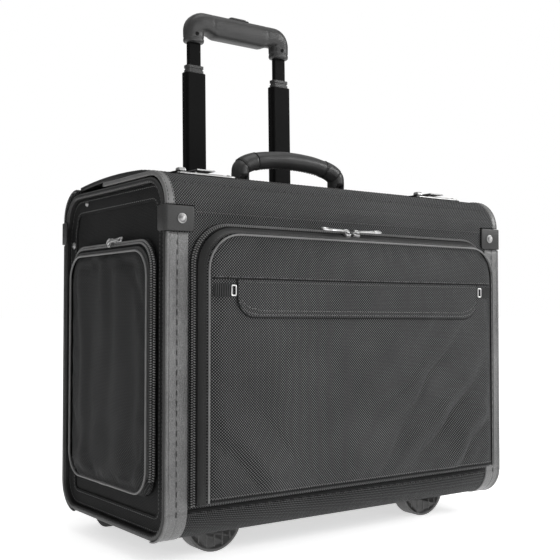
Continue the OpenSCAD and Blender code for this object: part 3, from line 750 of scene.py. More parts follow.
for end, way in (("front", -1), ("rear", 1)):
    for side, word in SIDES:
        n = Vector((0, way, 0))
        # The section's b axis is tangent x normal: its sign on each corner follows from that.
        b_sign = (Vector((0, 0, -1)).cross(n)).x
        outer = side * b_sign
        x = side * STRIP_X
        zs = [320.5 - (320.5 - 50) * i / 60 for i in range(61)]
        path = [at(x, way * (HALF_D + 0.1), z) for z in zs]
        sweep(f"{end}_{word}_corner_strip", path, strap_section(STRIP_HALF, 1.3, outer), n,
              LEATHER, "case", replaces=["corner_strips"] if (end, word) == ("front", "left") else ())
        stitches(f"{end}_{word}_strip_stitches", [p + n * (1.0 * MM) for p in path], n, THREAD,
                 "case", 9.5, 6.0, 1.4, 1.0, 0.0)
        fold = [(HALF_D + 0.05, 58), (HALF_D + 0.05, 54)]
        fold += arc(HALF_D - FOLD_R, REST_BASE + FOLD_R, FOLD_R + 0.05, 0, -88, 16)
        path = [at(x, way * y, z) for y, z in fold]
        normals = [Vector((0, way, 0))] * 2
        normals += [Vector((0, way * cos(radians(t)), sin(radians(t))))
                    for t in [-88 * i / 16 for i in range(17)]]
        sweep(f"{end}_{word}_corner_wrap", path, strap_section(STRIP_HALF, 1.2, outer), normals,
              LEATHER, "case")
    # The cloth that turns under the case between the two straps.
    fold = [(HALF_D - FOLD_R - 4, REST_BASE)] + [
        (HALF_D - FOLD_R + (FOLD_R + 0.1) * sin(radians(t)),
         REST_BASE + FOLD_R - (FOLD_R + 0.1) * cos(radians(t))) for t in range(6, 91, 6)]
    fold = [(way * y, z) for y, z in fold]
    reach = 209.5 if way < 0 else WHEEL_GAP
    slab(f"{end}_fold_cover", fold if way < 0 else fold[::-1], -reach, reach, 0.6, NYLON_FOLD, "case",
         lambda x, s: 0.25, 40)

# Bent leather tabs over the strips' upper ends, each with a domed rivet.
TAB_LO, TAB_HI = case_box("corner_tabs")
TAB_MID_Z = (TAB_LO.z + TAB_HI.z) / 2
TAB_T = 2.5
TAB_H = TAB_HI.z - TAB_LO.z
TAB_FROM, TAB_BEND = 204.0, 3.2
TAB_FACE = TAB_HI.y - TAB_T / 2
TAB_SIDE = TAB_HI.x - TAB_T / 2


def tab_grow(path, corner=3.0):
    """Narrows the strap towards both ends, so that its corners are round."""
    run = lengths(path)
    out = []
    for s in run:
        d = min(s, run[-1] - s)
        lost = corner - sqrt(max(0.0, corner ** 2 - (corner - d) ** 2)) if d < corner else 0.0
        thin = 1.0 if d > 0.6 else 0.6 + 0.4 * d / 0.6
        out.append((thin, 1 - lost / (TAB_H / 2)))
    return out


for end, way in (("front", -1), ("rear", 1)):
    for side, word in SIDES:
        pts = [(TAB_FROM + d, TAB_FACE) for d in (0, 0.3, 0.8, 1.5, 2.3, 3.2, 6, 12, 20)]
        cx, cy = TAB_SIDE - TAB_BEND, TAB_FACE - TAB_BEND
        pts += [(cx + TAB_BEND * sin(radians(t)), cy + TAB_BEND * cos(radians(t)))
                for t in range(0, 91, 15)]
        last = 109.2
        pts += [(TAB_SIDE, y) for y in (116, 113, last + 3.2, last + 2.3, last + 1.5, last + 0.8,
                                        last + 0.3, last)]
        path = [at(side * x, way * y, TAB_MID_Z) for x, y in pts]
        normals = []
        for d in tangents(path, False):
            flat = Vector((d.y, -d.x, 0))
            normals.append(flat if flat.dot(Vector((side, way, 0))) > 0 else -flat)
        section = soft_rect(-TAB_T / 2, TAB_T / 2, -TAB_H / 2, TAB_H / 2, 0.8, 3)
        sweep(f"{end}_{word}_tab", path, section, normals, TAB_LEATHER, "case",
              grow=tab_grow(path),
              replaces=["corner_tabs"] if (end, word) == ("front", "left") else ())

DOME = [(5.0, 0), (5.0, 0.5), (4.6, 0.75), (4.1, 0.6), (3.9, 0.9), (3.7, 1.7), (3.1, 2.5), (2.1, 3.05),
        (1.0, 3.3), (0.0, 3.35)]
RING = [(4.0, 0), (4.0, 0.5), (3.5, 0.9), (3.0, 0.7), (2.7, 0.5), (2.4, 1.0), (1.6, 1.6), (0.0, 1.8)]
heads = []
for side in (-1, 1):
    for way in (-1, 1):
        heads.append(lathe(DOME, at(side * 218, way * (TAB_HI.y - 0.05), TAB_MID_Z),
                           Vector((0, way, 0)), 28))
    heads.append(lathe(RING, at(side * (END_X + 1.2), 105, 320), Vector((side, 0, 0)), 24))
    heads.append(lathe([(r * 0.62, h * 0.7) for r, h in DOME], at(side * (END_X + 1.2), 70, 365),
                       Vector((side, 0, 0)), 20))
group("tab_rivet_heads", heads, SATIN, "case", ["tab_rivets"])

# Seam under the front pocket: a bound seam across the foot of each panel, with stitches below it.
for end, way in (("front", -1), ("rear", 1)):
    n = Vector((0, way, 0))
    path = [at(x, way * (HALF_D + 0.05), 51.6) for x in range(-209, 210, 11)]
    sweep(f"{end}_foot_seam", path, soft_rect(-0.2, 0.7, -1.6, 1.6, 0.4, 2),
          n, TAPE, "case")
    below = [p + n * (0.3 * MM) + mm(0, 0, -3.2) for p in path]
    stitches(f"{end}_foot_seam_stitches", below, n, THREAD, "case")


# ---------------------------------------------------------------- lids

def ripple(x, s, size=0.25, scale=0.012):
    return size * noise.noise(Vector((x * scale, s * scale * 1.6, 3.7)))


def dip(s, place, depth, width):
    return -depth * exp(-((s - place) / width) ** 2)


CREASE_S, SEAM_S = 9.5, 25.0
front_profile = [(y, z) for y, z in arc(-HALF_D + LID_R, HINGE_Z, LID_R, 180, 90, 40)]
front_profile += [(-HALF_D + LID_R + (20 + HALF_D - LID_R) * i / 16, LID_TOP) for i in range(1, 17)]


def front_relief(x, s):
    return (dip(s, CREASE_S, 0.55, 1.1) + dip(s, SEAM_S, 0.5, 0.9) + 0.25
            + 0.2 * exp(-((s - (CREASE_S + SEAM_S) / 2) / 5) ** 2) + ripple(x, s))


slab("front_lid_cover", front_profile, -229, 229, 3.6, NYLON_TOP, "front_lid", front_relief, 80,
     ["front_lid_board"])


def along_profile(profile, s):
    """Point and outward normal at distance s along a (y, z) profile."""
    for (y0, z0), (y1, z1) in zip(profile, profile[1:]):
        step = hypot(y1 - y0, z1 - z0)
        if s <= step or (y1, z1) == profile[-1]:
            t = s / step
            d = Vector((0, y1 - y0, z1 - z0)).normalized()
            return (y0 + (y1 - y0) * t, z0 + (z1 - z0) * t), Vector((0, -d.z, d.y))
        s -= step


(seam_y, seam_z), seam_n = along_profile(front_profile, SEAM_S)
xs = range(-224, 225, 8)
stitches("front_lid_seam_stitches", [at(x, seam_y, seam_z) for x in xs], [seam_n] * len(xs), THREAD,
         "front_lid", 4.2, 3.1, 0.8, 0.8)

EDGE_W = 9.0


for side, word in SIDES:
    path, normals = profile_path(front_profile, side * (234 - EDGE_W / 2))
    sweep(f"front_lid_{word}_binding", path,
          soft_rect(-4.0, 0.95, -EDGE_W / 2, EDGE_W / 2, 0.9, 3), normals, VINYL_PAINTED_HIGHLIGHT,
          "front_lid", replaces=["front_lid_binding"] if side == LEFT else ())
    rows = []
    for b in (-3.2, 2.4):
        rows.append(([p + n * (0.95 * MM) + mm(side * b, 0, 0) for p, n in zip(path, normals)],
                     normals))
    stitches(f"front_lid_{word}_binding_stitches", *rows[0], THREAD, "front_lid", 4.4, 3.0, 0.9, 0.7, 0,
             runs=rows[1:])

# Cloth hinge between the front panel and its lid.
hinge_profile = [(-HALF_D - out, z) for out, z in (
    (0.15, 338.5), (0.3, 340.5), (0.5, 343), (0.45, 346), (0.45, 348), (0.4, 350.5))]
slab("front_lid_hinge_cloth", hinge_profile, -203, 203, 0.5, NYLON_TOP, "case")
stitches("front_hinge_stitches", [at(x, -HALF_D - 0.55, 341.5) for x in xs if abs(x) < 202],
         Vector((0, -1, 0)), THREAD, "case", 4.2, 3.1, 0.8, 0.7)

REAR_HINGE_Y, REAR_REACH, REAR_Z0, REAR_Z1, CROWN = 89.7, 66.0, 384.6, 386.6, 3.6


def rear_z(y):
    u = (REAR_HINGE_Y - y) / (REAR_HINGE_Y + REAR_REACH)
    return REAR_Z0 + (REAR_Z1 - REAR_Z0) * u + CROWN * 4 * u * (1 - u)


rear_ys = [-REAR_REACH + (REAR_HINGE_Y + REAR_REACH) * i / 40 for i in range(41)]
rear_profile = [(y, rear_z(y)) for y in rear_ys]
slab("rear_lid_cover", rear_profile, -224, 224, 3.6, NYLON_TOP, "rear_lid",
     lambda x, s: 0.2 + ripple(x, s, 0.3), 80, ["rear_lid_board"])

# One bound edge runs round both ends and the free edge.
corner = 9.0
edge_x = 229 - EDGE_W / 2
front_y = -REAR_REACH + EDGE_W / 2
side_ys = range(89, int(front_y + corner), -6)
turn_angles = [radians(t) for t in range(0, 91, 15)]
plan = [(-edge_x, y) for y in side_ys]
plan += [(-edge_x + corner - corner * cos(t), front_y + corner - corner * sin(t))
         for t in turn_angles]
plan += [(x, front_y) for x in range(int(-edge_x + corner) + 6, int(edge_x - corner), 8)]
plan += [(-x, y) for x, y in reversed(plan[:len(side_ys) + len(turn_angles)])]
path = [at(x, y, rear_z(y)) for x, y in plan]
normals = []
for x, y in plan:
    slope = (rear_z(y + 0.5) - rear_z(y - 0.5))
    normals.append(Vector((0, -slope, 1)).normalized())
sweep("rear_lid_edge_binding", path,
      soft_rect(-4.1, 0.9, -EDGE_W / 2, EDGE_W / 2, 0.9, 3), normals, VINYL,
      "rear_lid", replaces=["rear_lid_binding"])
stitches("rear_lid_binding_stitches", beside(path, normals, 0.9, -3.2), normals, THREAD, "rear_lid",
         4.4, 3.0, 0.9, 0.7, 0, runs=[(beside(path, normals, 0.9, 2.6), normals)])


# ---------------------------------------------------------------- pockets

class Pocket:
    """A zipped pocket that stands out from a panel. u runs across, v up and w outwards."""

    def __init__(self, word, place, out, base, face, radii, w_base, w_face, foot_r=None):
        self.word, self.place, self.out = word, place, out
        self.base = self.loop(*base, radii[0], foot_r or radii[0])
        self.face = self.loop(*face, radii[1], foot_r or radii[1])
        self.w_base, self.w_face = w_base, w_face
        self.face_box = face

    @staticmethod
    def loop(u0, u1, v0, v1, r, foot):
        """Closed rounded rectangle that starts at the middle of the foot and turns towards +u."""
        mid = (u0 + u1) / 2
        rise = v1 - v0 - r - foot
        pts = [(mid + (u1 - foot - mid) * i / 12, v0) for i in range(12)]
        for cu, cv, start, turn_r in ((u1 - foot, v0 + foot, -90, foot), (u1 - r, v1 - r, 0, r),
                                      (u0 + r, v1 - r, 90, r), (u0 + foot, v0 + foot, 180, foot)):
            for k in range(12):
                t = radians(start + 90 * k / 12)
                pts.append((cu + turn_r * cos(t), cv + turn_r * sin(t)))
            if start == -90:
                pts += [(u1, v0 + foot + rise * k / 18) for k in range(18)]
            elif start == 0:
                pts += [(u1 - r + (u0 - u1 + 2 * r) * k / 30, v1) for k in range(30)]
            elif start == 90:
                pts += [(u0, v1 - r - rise * k / 18) for k in range(18)]
        pts += [(u0 + foot + (mid - u0 - foot) * i / 12, v0) for i in range(12)]
        return pts

    def uvw(self, k, t, lift=0.0):
        """A point on the gusset: t is 0 at the panel and 1 at the face's edge."""
        count = len(self.base)
        k %= count
        (bu, bv), (fu, fv) = self.base[k], self.face[k]
        u, v, w = bu + (fu - bu) * t, bv + (fv - bv) * t, self.w_base + (self.w_face - self.w_base) * t
        if lift:
            n = self.slope_normal(k)
            u, v, w = u + n.x * lift, v + n.y * lift, w + n.z * lift
        return u, v, w

    def slope_normal(self, k):
        count = len(self.base)
        k %= count
        a, b = self.base[(k - 1) % count], self.base[(k + 1) % count]
        run = Vector((b[0] - a[0], b[1] - a[1], 0)).normalized()
        (bu, bv), (fu, fv) = self.base[k], self.face[k]
        up = Vector((fu - bu, fv - bv, self.w_face - self.w_base)).normalized()
        n = run.cross(up).normalized()
        middle = Vector((self.base[0][0], (self.base[0][1] + self.base[60][1]) / 2, 0))
        away = Vector((bu, bv, 0)) - middle
        return n if n.dot(away) > 0 else -n

    def at(self, k, t, lift=0.0):
        return self.place(*self.uvw(k, t, lift))

    def normal(self, k):
        n = self.slope_normal(k)
        origin = self.place(0, 0, 0)
        return (self.place(n.x, n.y, n.z) - origin).normalized()

    def path(self, t, lift=0.0, span=None):
        keys = range(len(self.base)) if span is None else range(span[0], span[1] + 1)
        return [self.at(k, t, lift) for k in keys], [self.normal(k) for k in keys]


def closed_loft(rings):
    """Verts and faces of a closed form through rings of equal length, capped at both ends."""
    return [p for ring in rings for p in ring], ring_faces(len(rings), len(rings[0]))


def applied(obj):
    """Turns an object's modifiers into its mesh."""
    bpy.context.view_layer.update()
    graph = bpy.context.evaluated_depsgraph_get()
    graph.update()
    mesh = bpy.data.meshes.new_from_object(obj.evaluated_get(graph))
    old = obj.data
    obj.modifiers.clear()
    obj.data = mesh
    bpy.data.meshes.remove(old)


VOXEL = 5.0
CLOTH_FRAMES = 20
PRESSURE = 4.0


def puff(obj, held, cap, slack):
    """Fills a closed form like a stuffed pocket: remeshed, then blown up as cloth. held(co) is 1
    where the cloth is sewn down; no point moves further than cap millimetres."""
    mod = obj.modifiers.new("voxels", "REMESH")
    mod.mode, mod.voxel_size = "VOXEL", VOXEL * MM
    applied(obj)
    start = [v.co.copy() for v in obj.data.vertices]
    group = obj.vertex_groups.new(name="sewn")
    for v in obj.data.vertices:
        weight = held(v.co)
        if weight > 0:
            group.add([v.index], weight, "REPLACE")
    cloth = obj.modifiers.new("cloth", "CLOTH")
    cs = cloth.settings
    cs.quality, cs.mass = 6, 0.25
    cs.tension_stiffness = cs.compression_stiffness = 14
    cs.shear_stiffness, cs.bending_stiffness = 6, 0.6
    cs.use_pressure, cs.uniform_pressure_force = True, PRESSURE
    cs.effector_weights.gravity = 0
    cs.vertex_group_mass = "sewn"
    cs.shrink_min = -slack
    cloth.point_cache.frame_start, cloth.point_cache.frame_end = 1, CLOTH_FRAMES
    for f in range(1, CLOTH_FRAMES + 1):
        scene.frame_set(f)
    applied(obj)
    scene.frame_set(1)
    for v, s in zip(obj.data.vertices, start):
        move = v.co - s
        if move.length > cap * MM:
            v.co = s + move.normalized() * (cap * MM)
    obj.vertex_groups.clear()


def probe(obj, pocket):
    """Returns on(u, v): how far out, in millimetres, the pocket's face is there."""
    graph = bpy.context.evaluated_depsgraph_get()
    tree = BVHTree.FromObject(obj, graph)
    inverse = obj.matrix_world.inverted()
    turn = inverse.to_3x3()

    def on(u, v):
        start = pocket.place(u, v, pocket.w_face + 60)
        hit = tree.ray_cast(inverse @ start, turn @ -pocket.out)
        if hit[0] is None:
            return pocket.w_face
        return pocket.w_face + 60 - hit[3] / MM
    return on


def sewn_body(pocket, mat, replaced, recess, cap, slack, wrinkle):
    """The pocket's own cloth: gusset and face in one stuffed form."""
    rings = []
    for t in (0.0, 0.3, 0.6, 0.86):
        rings.append([pocket.at(k, t, -0.7) for k in range(len(pocket.base))])
    u0, u1, v0, v1 = pocket.face_box
    mid = ((u0 + u1) / 2, (v0 + v1) / 2)
    for inset, w in ((1.2, -recess - 0.9), (4.5, -recess)):
        ring = []
        for fu, fv in pocket.face:
            su = 1 - inset / ((u1 - u0) / 2)
            sv = 1 - inset / ((v1 - v0) / 2)
            ring.append(pocket.place(mid[0] + (fu - mid[0]) * su, mid[1] + (fv - mid[1]) * sv,
                                     pocket.w_face + w))
        rings.append(ring)
    verts, faces = closed_loft(rings)
    obj = piece(f"{pocket.word}_pocket_body", verts, faces, mat, "case", replaced)
    bm = bmesh.new()
    bm.from_mesh(obj.data)
    bmesh.ops.recalc_face_normals(bm, faces=bm.faces)
    bm.to_mesh(obj.data)
    bm.free()
    inverse = obj.matrix_world.inverted()
    origin = inverse @ pocket.place(mid[0], mid[1], pocket.w_face - recess)
    axis_u = inverse.to_3x3() @ (pocket.place(1, 0, 0) - pocket.place(0, 0, 0)).normalized()
    out = inverse.to_3x3() @ pocket.out
    half_u, half_v = (u1 - u0) / 2, (v1 - v0) / 2

    def local(co):
        d = co - origin
        return d.dot(axis_u) / MM, d.z / MM, d.dot(out) / MM

    def inside(co):
        """How far inside the face's edge, in millimetres."""
        u, v, w = local(co)
        r = 30.0
        qu, qv = abs(u) - (half_u - r), abs(v) - (half_v - r)
        return r - (hypot(max(qu, 0), max(qv, 0)) + min(max(qu, qv), 0))

    def held(co):
        u, v, w = local(co)
        if w < -2.5:
            return 1.0
        return 1.0 if inside(co) < 5 else 0.0
    puff(obj, held, cap, slack)
    mod = obj.modifiers.new("smooth", "SUBSURF")
    mod.levels = mod.render_levels = 1
    applied(obj)
    for v in obj.data.vertices:
        u, vv, w = local(v.co)
        deep = inside(v.co)
        if w > -3 and deep > 2:
            ease = min(1.0, (deep - 2) / 14)
            v.co += out * (wrinkle(u, vv) * ease * MM)
    obj.data.shade_smooth()
    for layer in list(obj.data.uv_layers):
        obj.data.uv_layers.remove(layer)
    box_map(obj.data)
    obj.data.materials.clear()
    obj.data.materials.append(mat)
    return obj


ZIP_TEETH = grained("zip_teeth", 0.16, 0.24, 0.28, 2200, 0.03, wear=0.4)
TOOTH_PITCH = 2.5


def zip_line(pocket, t, span, tape_half, strip):
    """Two tapes and two rows of teeth along the gusset, and the smooth strip beside them."""
    path, normals = pocket.path(t, 0.2, span)
    section = []
    for b in [-tape_half + 2 * tape_half * i / 16 for i in range(17)]:
        raise_ = 0.55 + 0.5 * exp(-(b / 2.6) ** 2) - 0.55 * exp(-(b / 0.45) ** 2)
        section.append((raise_ * MM, b * MM))
    section += [(-0.5 * MM, tape_half * MM), (-0.5 * MM, -tape_half * MM)]
    sweep(f"{pocket.word}_zip_tape", path, section, normals, TAPE, "case")
    parts = []
    for row in (-1, 1):
        line, nor = pocket.path(t, 1.35, span)
        line, nor = resample(line, TOOTH_PITCH * MM, False, nor)
        dirs = tangents(line, False)
        for c, n, d in zip(line, nor, dirs):
            side = d.cross(n)
            shift = d * (0.5 * TOOTH_PITCH * MM * (row > 0))
            parts.append(bead(c + side * (row * 1.5 * MM) + shift,
                              (side + d * 0.25 * row).normalized(), n,
                              2.7 * MM, 1.5 * MM, 1.7 * MM))
    group(f"{pocket.word}_zip_teeth", parts, ZIP_TEETH, "case")
    t0, t1, half = strip
    path, normals = pocket.path((t0 + t1) / 2, 0.15, span)
    section = []
    for b in [-half + 2 * half * i / 14 for i in range(15)]:
        edge = min(1.0, (half - abs(b)) / 0.8)
        section.append(((0.95 * sqrt(max(0.0, 1 - (1 - edge) ** 2)) + 0.25 * (1 - (b / half) ** 2)
                         - 0.3 * exp(-((b + half - 1.9) / 0.5) ** 2)) * MM, b * MM))
    section += [(-0.5 * MM, half * MM), (-0.5 * MM, -half * MM)]
    sweep(f"{pocket.word}_gusset_strip", path, section, normals, GUSSET, "case")
    stitches(f"{pocket.word}_gusset_stitches", beside(path, normals, 0.9, 1.9 - half), normals,
             THREAD, "case", 3.6, 2.6, 0.7, 0.6, 0)


def beading(pocket, r, mat, span=None):
    """Piping round the face: it runs into the foot's seam, or goes right round and overlaps."""
    path, normals = pocket.path(1.0, 0.3, span)
    section = circle(r, 14)
    path = [p + pocket.out * (0.2 * r * MM) for p in path]
    sweep(f"{pocket.word}_piping", path, section, normals, mat, "case", span is None)
    if span:
        return
    lap = [pocket.at(k, 1.0, 0.3) + pocket.out * (0.2 * r * MM) for k in range(-1, 3)]
    fine, fine_n = resample(lap, 2 * MM, False, [pocket.normal(k) for k in range(-1, 3)])
    sweep(f"{pocket.word}_piping_lap", fine, [(a * 1.22, b * 1.22) for a, b in section], fine_n,
          mat, "case", grow=[0.9] + [1.0] * (len(fine) - 2) + [0.9])


FRONT_FACE_W = HALF_D + 23.0
front = Pocket("front", lambda u, v, w: at(u, -w, v), Vector((0, -1, 0)), (-207, 207, 54, 331),
               (-199.5, 199.5, 59, 319), (40, 36), HALF_D + 0.25, FRONT_FACE_W, 3)
COUNT = len(front.base)


def front_wrinkle(u, v):
    """Soft dents of the front pocket: slack at the foot, and drawn folds in the lower corners."""
    low = max(0.0, (-v - 40) / 90)
    fold = sin((u * 0.9 + v * 0.7) / 17.0 + 3 * noise.noise(Vector((u * 0.008, v * 0.01, 1.0))))
    right = max(0.0, min(1.0, (u - 60) / 110))
    soft = noise.noise(Vector((u * 0.011, v * 0.017, 5.0))) * 1.3
    small = noise.noise(Vector((u * 0.03, v * 0.05, 9.0))) * 0.45
    # Drawn folds: they lean across the lower right corner and, less, across the left one.
    drawn = 0.0
    for way, size, spread in ((1, 4.8, 84.0), (-1, 2.8, 44.0)):
        du, dv = (way * 199.5 - u) * way, v + 130
        along = (du - dv) * 0.7
        across = (du + dv) * 0.7 + 8 * noise.noise(Vector((along * 0.02, way, 0.3)))
        near = exp(-((across - spread) / spread) ** 2) * exp(-((along - 14) / 66) ** 2)
        phase = across / 8.2 + 2.4 * noise.noise(Vector((across * 0.03, along * 0.01, way + 2.0)))
        drawn += size * near * (sin(phase) - 0.9 * exp(-(sin(phase / 2 + 0.5) / 0.3) ** 2))
    return soft + small + fold * low * (0.35 + 0.7 * right) + drawn


front_body = sewn_body(front, NYLON, ["front_pocket"], 1.6, 2.6, 0.015, front_wrinkle)
on_front = probe(front_body, front)
# The sides run straight down into the foot's seam, from the first to the last point above the
# foot's corners.
ZIP_SPAN = (24, COUNT - 24)
zip_line(front, 0.2, ZIP_SPAN, 4.2, (0.40, 0.84, 5.6))
beading(front, 1.0, VINYL_PAINTED_HIGHLIGHT, ZIP_SPAN)
# A dark strip in the gusset's fold beside the panel: painted shadow.
path, normals = front.path(0.03, 0.1, ZIP_SPAN)
sweep("front_pocket_edge_shadow_strip", path, soft_rect(-0.4, 0.7, -1.3, 1.3, 0.5, 2), normals,
      TAPE, "case")
foot_us = [-200 + 400 * i / 80 for i in range(81)]
FOOT_SEAM_V = 62.5
path = [front.place(u, FOOT_SEAM_V, on_front(u, FOOT_SEAM_V) + 0.1) for u in foot_us]
sweep("front_pocket_foot_seam", path, soft_rect(-0.4, 0.6, -1.1, 1.1, 0.4, 2),
      front.out, TAPE, "case")
path = [front.place(u, FOOT_SEAM_V + 2.6, on_front(u, FOOT_SEAM_V + 2.6) + 0.2) for u in foot_us]
stitches("front_pocket_foot_stitches", path, front.out, GREY_THREAD, "case", 3.6, 2.5, 0.9, 0.7, 0)

SIDE_FACE_W = 239.0


def side_pocket(side, word):
    return Pocket(word, lambda u, v, w: at(side * w, u, v), Vector((side, 0, 0)),
                  (-97, 97, 58, 322), (-91, 91, 64, 305), (26, 26), END_X + 0.3, SIDE_FACE_W)


def side_wrinkle(u, v):
    """Soft upright folds, deepest near the top where the zip gathers the cloth."""
    top = 0.45 + 0.55 * max(0.0, min(1.0, (v + 90) / 200))
    bend = 9 * noise.noise(Vector((v * 0.012, 2.0, 0.5)))
    fold = sin((u + bend) / 7.5 + 2.5 * noise.noise(Vector((u * 0.02, v * 0.006, 4.0))))
    soft = noise.noise(Vector((u * 0.02, v * 0.012, 8.0))) * 1.5
    drawn = sin((u * 0.8 + v * 0.9) / 9.0) * exp(-((v + 95) / 45) ** 2)
    return (1.1 * fold * top + soft + 1.1 * drawn) * 1.7


for side, word in SIDES:
    pocket = side_pocket(side, word)
    sewn_body(pocket, NYLON_SIDE_SHADED, [f"{word}_side_pocket"], 1.2, 2.6, 0.03, side_wrinkle)
    zip_line(pocket, 0.5, (22, COUNT - 22), 3.6, (0.74, 0.98, 2.2))
    beading(pocket, 1.15, VINYL_PAINTED_HIGHLIGHT)


# ---- flap, webbing and rings on the front pocket

def draped(name, us, v_top, v_low, on, lift, t, mat, body, place, rows, replaces=(), hem=0.0):
    """A closed sheet lying on a pocket's face. v_top and v_low give its edges at u."""
    verts = []
    cols = len(us)
    for face in (1, 0):
        for i in range(rows + 1):
            for j, u in enumerate(us):
                f = i / rows
                v = v_top(u) + (v_low(u) - v_top(u)) * f
                rim = min(1.0, min(f, 1 - f) * rows / 1.0, min(j, cols - 1 - j) / 1.0)
                up = lift + (t * (0.55 + 0.45 * rim) if face else 0.0)
                if face and hem:
                    up += hem * exp(-((1 - f) * abs(v_top(u) - v_low(u)) / 5.0) ** 2)
                verts.append(place(u, v, on(u, v) + up))
    faces = [(f[0], *f[:0:-1]) for f in sheet_faces(rows + 1, cols)]
    return piece(name, verts, faces, mat, body, replaces, sharp=60)


FLAP_L, FLAP_R, FLAP_CORNER = -169.0, 169.0, 21.0
FLAP_W = FLAP_R - FLAP_L


def flap_top(u):
    return 275.2 - 0.4 * sin(pi * (u - FLAP_L) / FLAP_W)


def flap_low(u):
    base = 238.0 - 2.6 * (u - FLAP_L) / FLAP_W
    d = min(u - FLAP_L, FLAP_R - u)
    if d < FLAP_CORNER:
        base += FLAP_CORNER - sqrt(max(0.0, FLAP_CORNER ** 2 - (FLAP_CORNER - d) ** 2))
    return base


steps = [0, 0.5, 1.4, 2.7, 4.4, 6.6, 9.4, 12.6, 16.4, FLAP_CORNER]
flap_us = [FLAP_L + s for s in steps]
flap_us += [FLAP_L + FLAP_CORNER + (FLAP_W - 2 * FLAP_CORNER) * i / 56 for i in range(1, 56)]
flap_us += [FLAP_R - s for s in reversed(steps)]


def out_front(u, v):
    """The highest of the cloth just round a point, so that what lies there clears it."""
    return max(on_front(u + a, v + b) for a in (-2, 0, 2) for b in (-2, 0, 2))


draped("pocket_flap_cloth", flap_us, flap_top, flap_low, out_front, 0.35, 1.5, NYLON, None,
       front.place, 12, ["pocket_flap"], 0.35)
edge = [(FLAP_L + 0.3, flap_top(FLAP_L)), (FLAP_L + 0.3, 268), (FLAP_L + 0.3, flap_low(FLAP_L) + 3)]
edge += [(u, flap_low(u) + 0.3) for u in flap_us[1:-1]]
edge += [(FLAP_R - 0.3, flap_low(FLAP_R) + 3), (FLAP_R - 0.3, 268), (FLAP_R - 0.3, flap_top(FLAP_R))]
# A dark cord along the flap's edge: partly its binding, and made dark to stand in for the shadow line under
# the edge, a painted shadow.
path = resample([front.place(u, v, out_front(u, v) + 0.9) for u, v in edge], 4 * MM)
sweep("flap_edge_binding", path, circle(0.95, 10), front.out, TAPE, None)
rows = []
for depth in (3.0, 7.0):
    pts = []
    for u in flap_us[3:-3]:
        straight = FLAP_CORNER < u - FLAP_L < FLAP_W - FLAP_CORNER
        v = flap_low(u) + depth * (1.0 if straight else 1.25)
        if v < flap_top(u) - 2:
            pts.append(front.place(u, v, out_front(u, v) + 2.15))
    rows.append((pts, front.out))
stitches("flap_stitches", *rows[0], GREY_THREAD, None, 3.6, 2.5, 0.85, 0.6, 0, runs=rows[1:])
pts = [front.place(u, flap_top(u) - 2.5, out_front(u, flap_top(u) - 2.5) + 1.7)
       for u in flap_us[1:-1]]
stitches("flap_top_stitches", pts, front.out, THREAD, None, 3.6, 2.7, 0.75, 0.6, 0)
# The flap's top edge is sewn down: these flap pieces are baked into place and ride on no moving part.
for word in ("pocket_flap_cloth", "flap_edge_binding", "flap_stitches", "flap_top_stitches"):
    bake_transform(bpy.data.objects[word])
seam_us = [-195 + 390 * i / 80 for i in range(81)]
pts = [front.place(u, flap_top(u) + 2.4, on_front(u, flap_top(u) + 2.4) + 0.1) for u in seam_us]
stitches("pocket_seam_stitches", pts, front.out, GREY_THREAD, "case", 3.6, 2.5, 0.95, 0.7, 0)
# A thin dark strip along the seam just above the flap: painted shadow of the seam's fold.
pts = [front.place(u, flap_top(u) + 0.9, on_front(u, flap_top(u) + 0.9) + 0.25) for u in seam_us]
sweep("pocket_seam_shadow_line", pts, soft_rect(-0.4, 0.5, -0.7, 0.7, 0.3, 2),
      front.out, TAPE, "case")


def ring_path(cu, cv, half_u, half_v, r, w):
    pts = []
    for su, sv, start in ((1, 1, 0), (-1, 1, 90), (-1, -1, 180), (1, -1, 270)):
        for k in range(5):
            t = radians(start + 90 * k / 4)
            pts.append((cu + su * (half_u - r) + r * cos(t), cv + sv * (half_v - r) + r * sin(t), w))
    return pts


for side, word in SIDES:
    u = side * 173.6
    v = 264.5 if side < 0 else 266.5
    w = out_front(u, v) + 1.4
    ring = [front.place(*p) for p in ring_path(u, v, 2.5, 4.9, 1.2, w)]
    tube(f"{word}_web_ring", ring, 0.8, CHROME, "case", ["web_loops"] if side < 0 else (), 10,
         Vector((0, -1, 0)))
    us = [side * x for x in (194, 190, 186, 182, 178.5, 176, 174.3, 173)]
    draped(f"{word}_web_tab", us, lambda a, v=v: v + 6.0, lambda a, v=v: v - 6.0, out_front,
           0.3, 1.0, WEBBING, "case", front.place, 5)


# ---------------------------------------------------------------- zip sliders and pulls

def turned(verts, matrix):
    return [matrix @ v for v in verts]


def plate_with_hole(outer, hole, z0, z1, chamfer=0.25):
    """A flat plate between two outlines of equal length, with eased edges."""
    size = len(outer)

    def ring(points, z, grow):
        cx = sum(p[0] for p in points) / size
        cy = sum(p[1] for p in points) / size
        out = []
        for x, y in points:
            d = hypot(x - cx, y - cy) or 1
            out.append(mm(x + (x - cx) / d * grow, y + (y - cy) / d * grow, z))
        return out
    rings = [ring(outer, z0, -chamfer), ring(outer, z0 + chamfer, 0), ring(outer, z1 - chamfer, 0),
             ring(outer, z1, -chamfer), ring(hole, z1, chamfer), ring(hole, z1 - chamfer, 0),
             ring(hole, z0 + chamfer, 0), ring(hole, z0, chamfer)]
    return [p for r in rings for p in r], ring_faces(len(rings), size, True)


def outline(points, count):
    """Evenly spaced points round a closed polygon, so that two outlines can be joined."""
    line = [Vector((x, y, 0)) for x, y in points]
    step = sum((a - b).length for a, b in zip(line, line[1:] + line[:1])) / count
    return [(p.x, p.y) for p in resample(line, step, True)][:count]


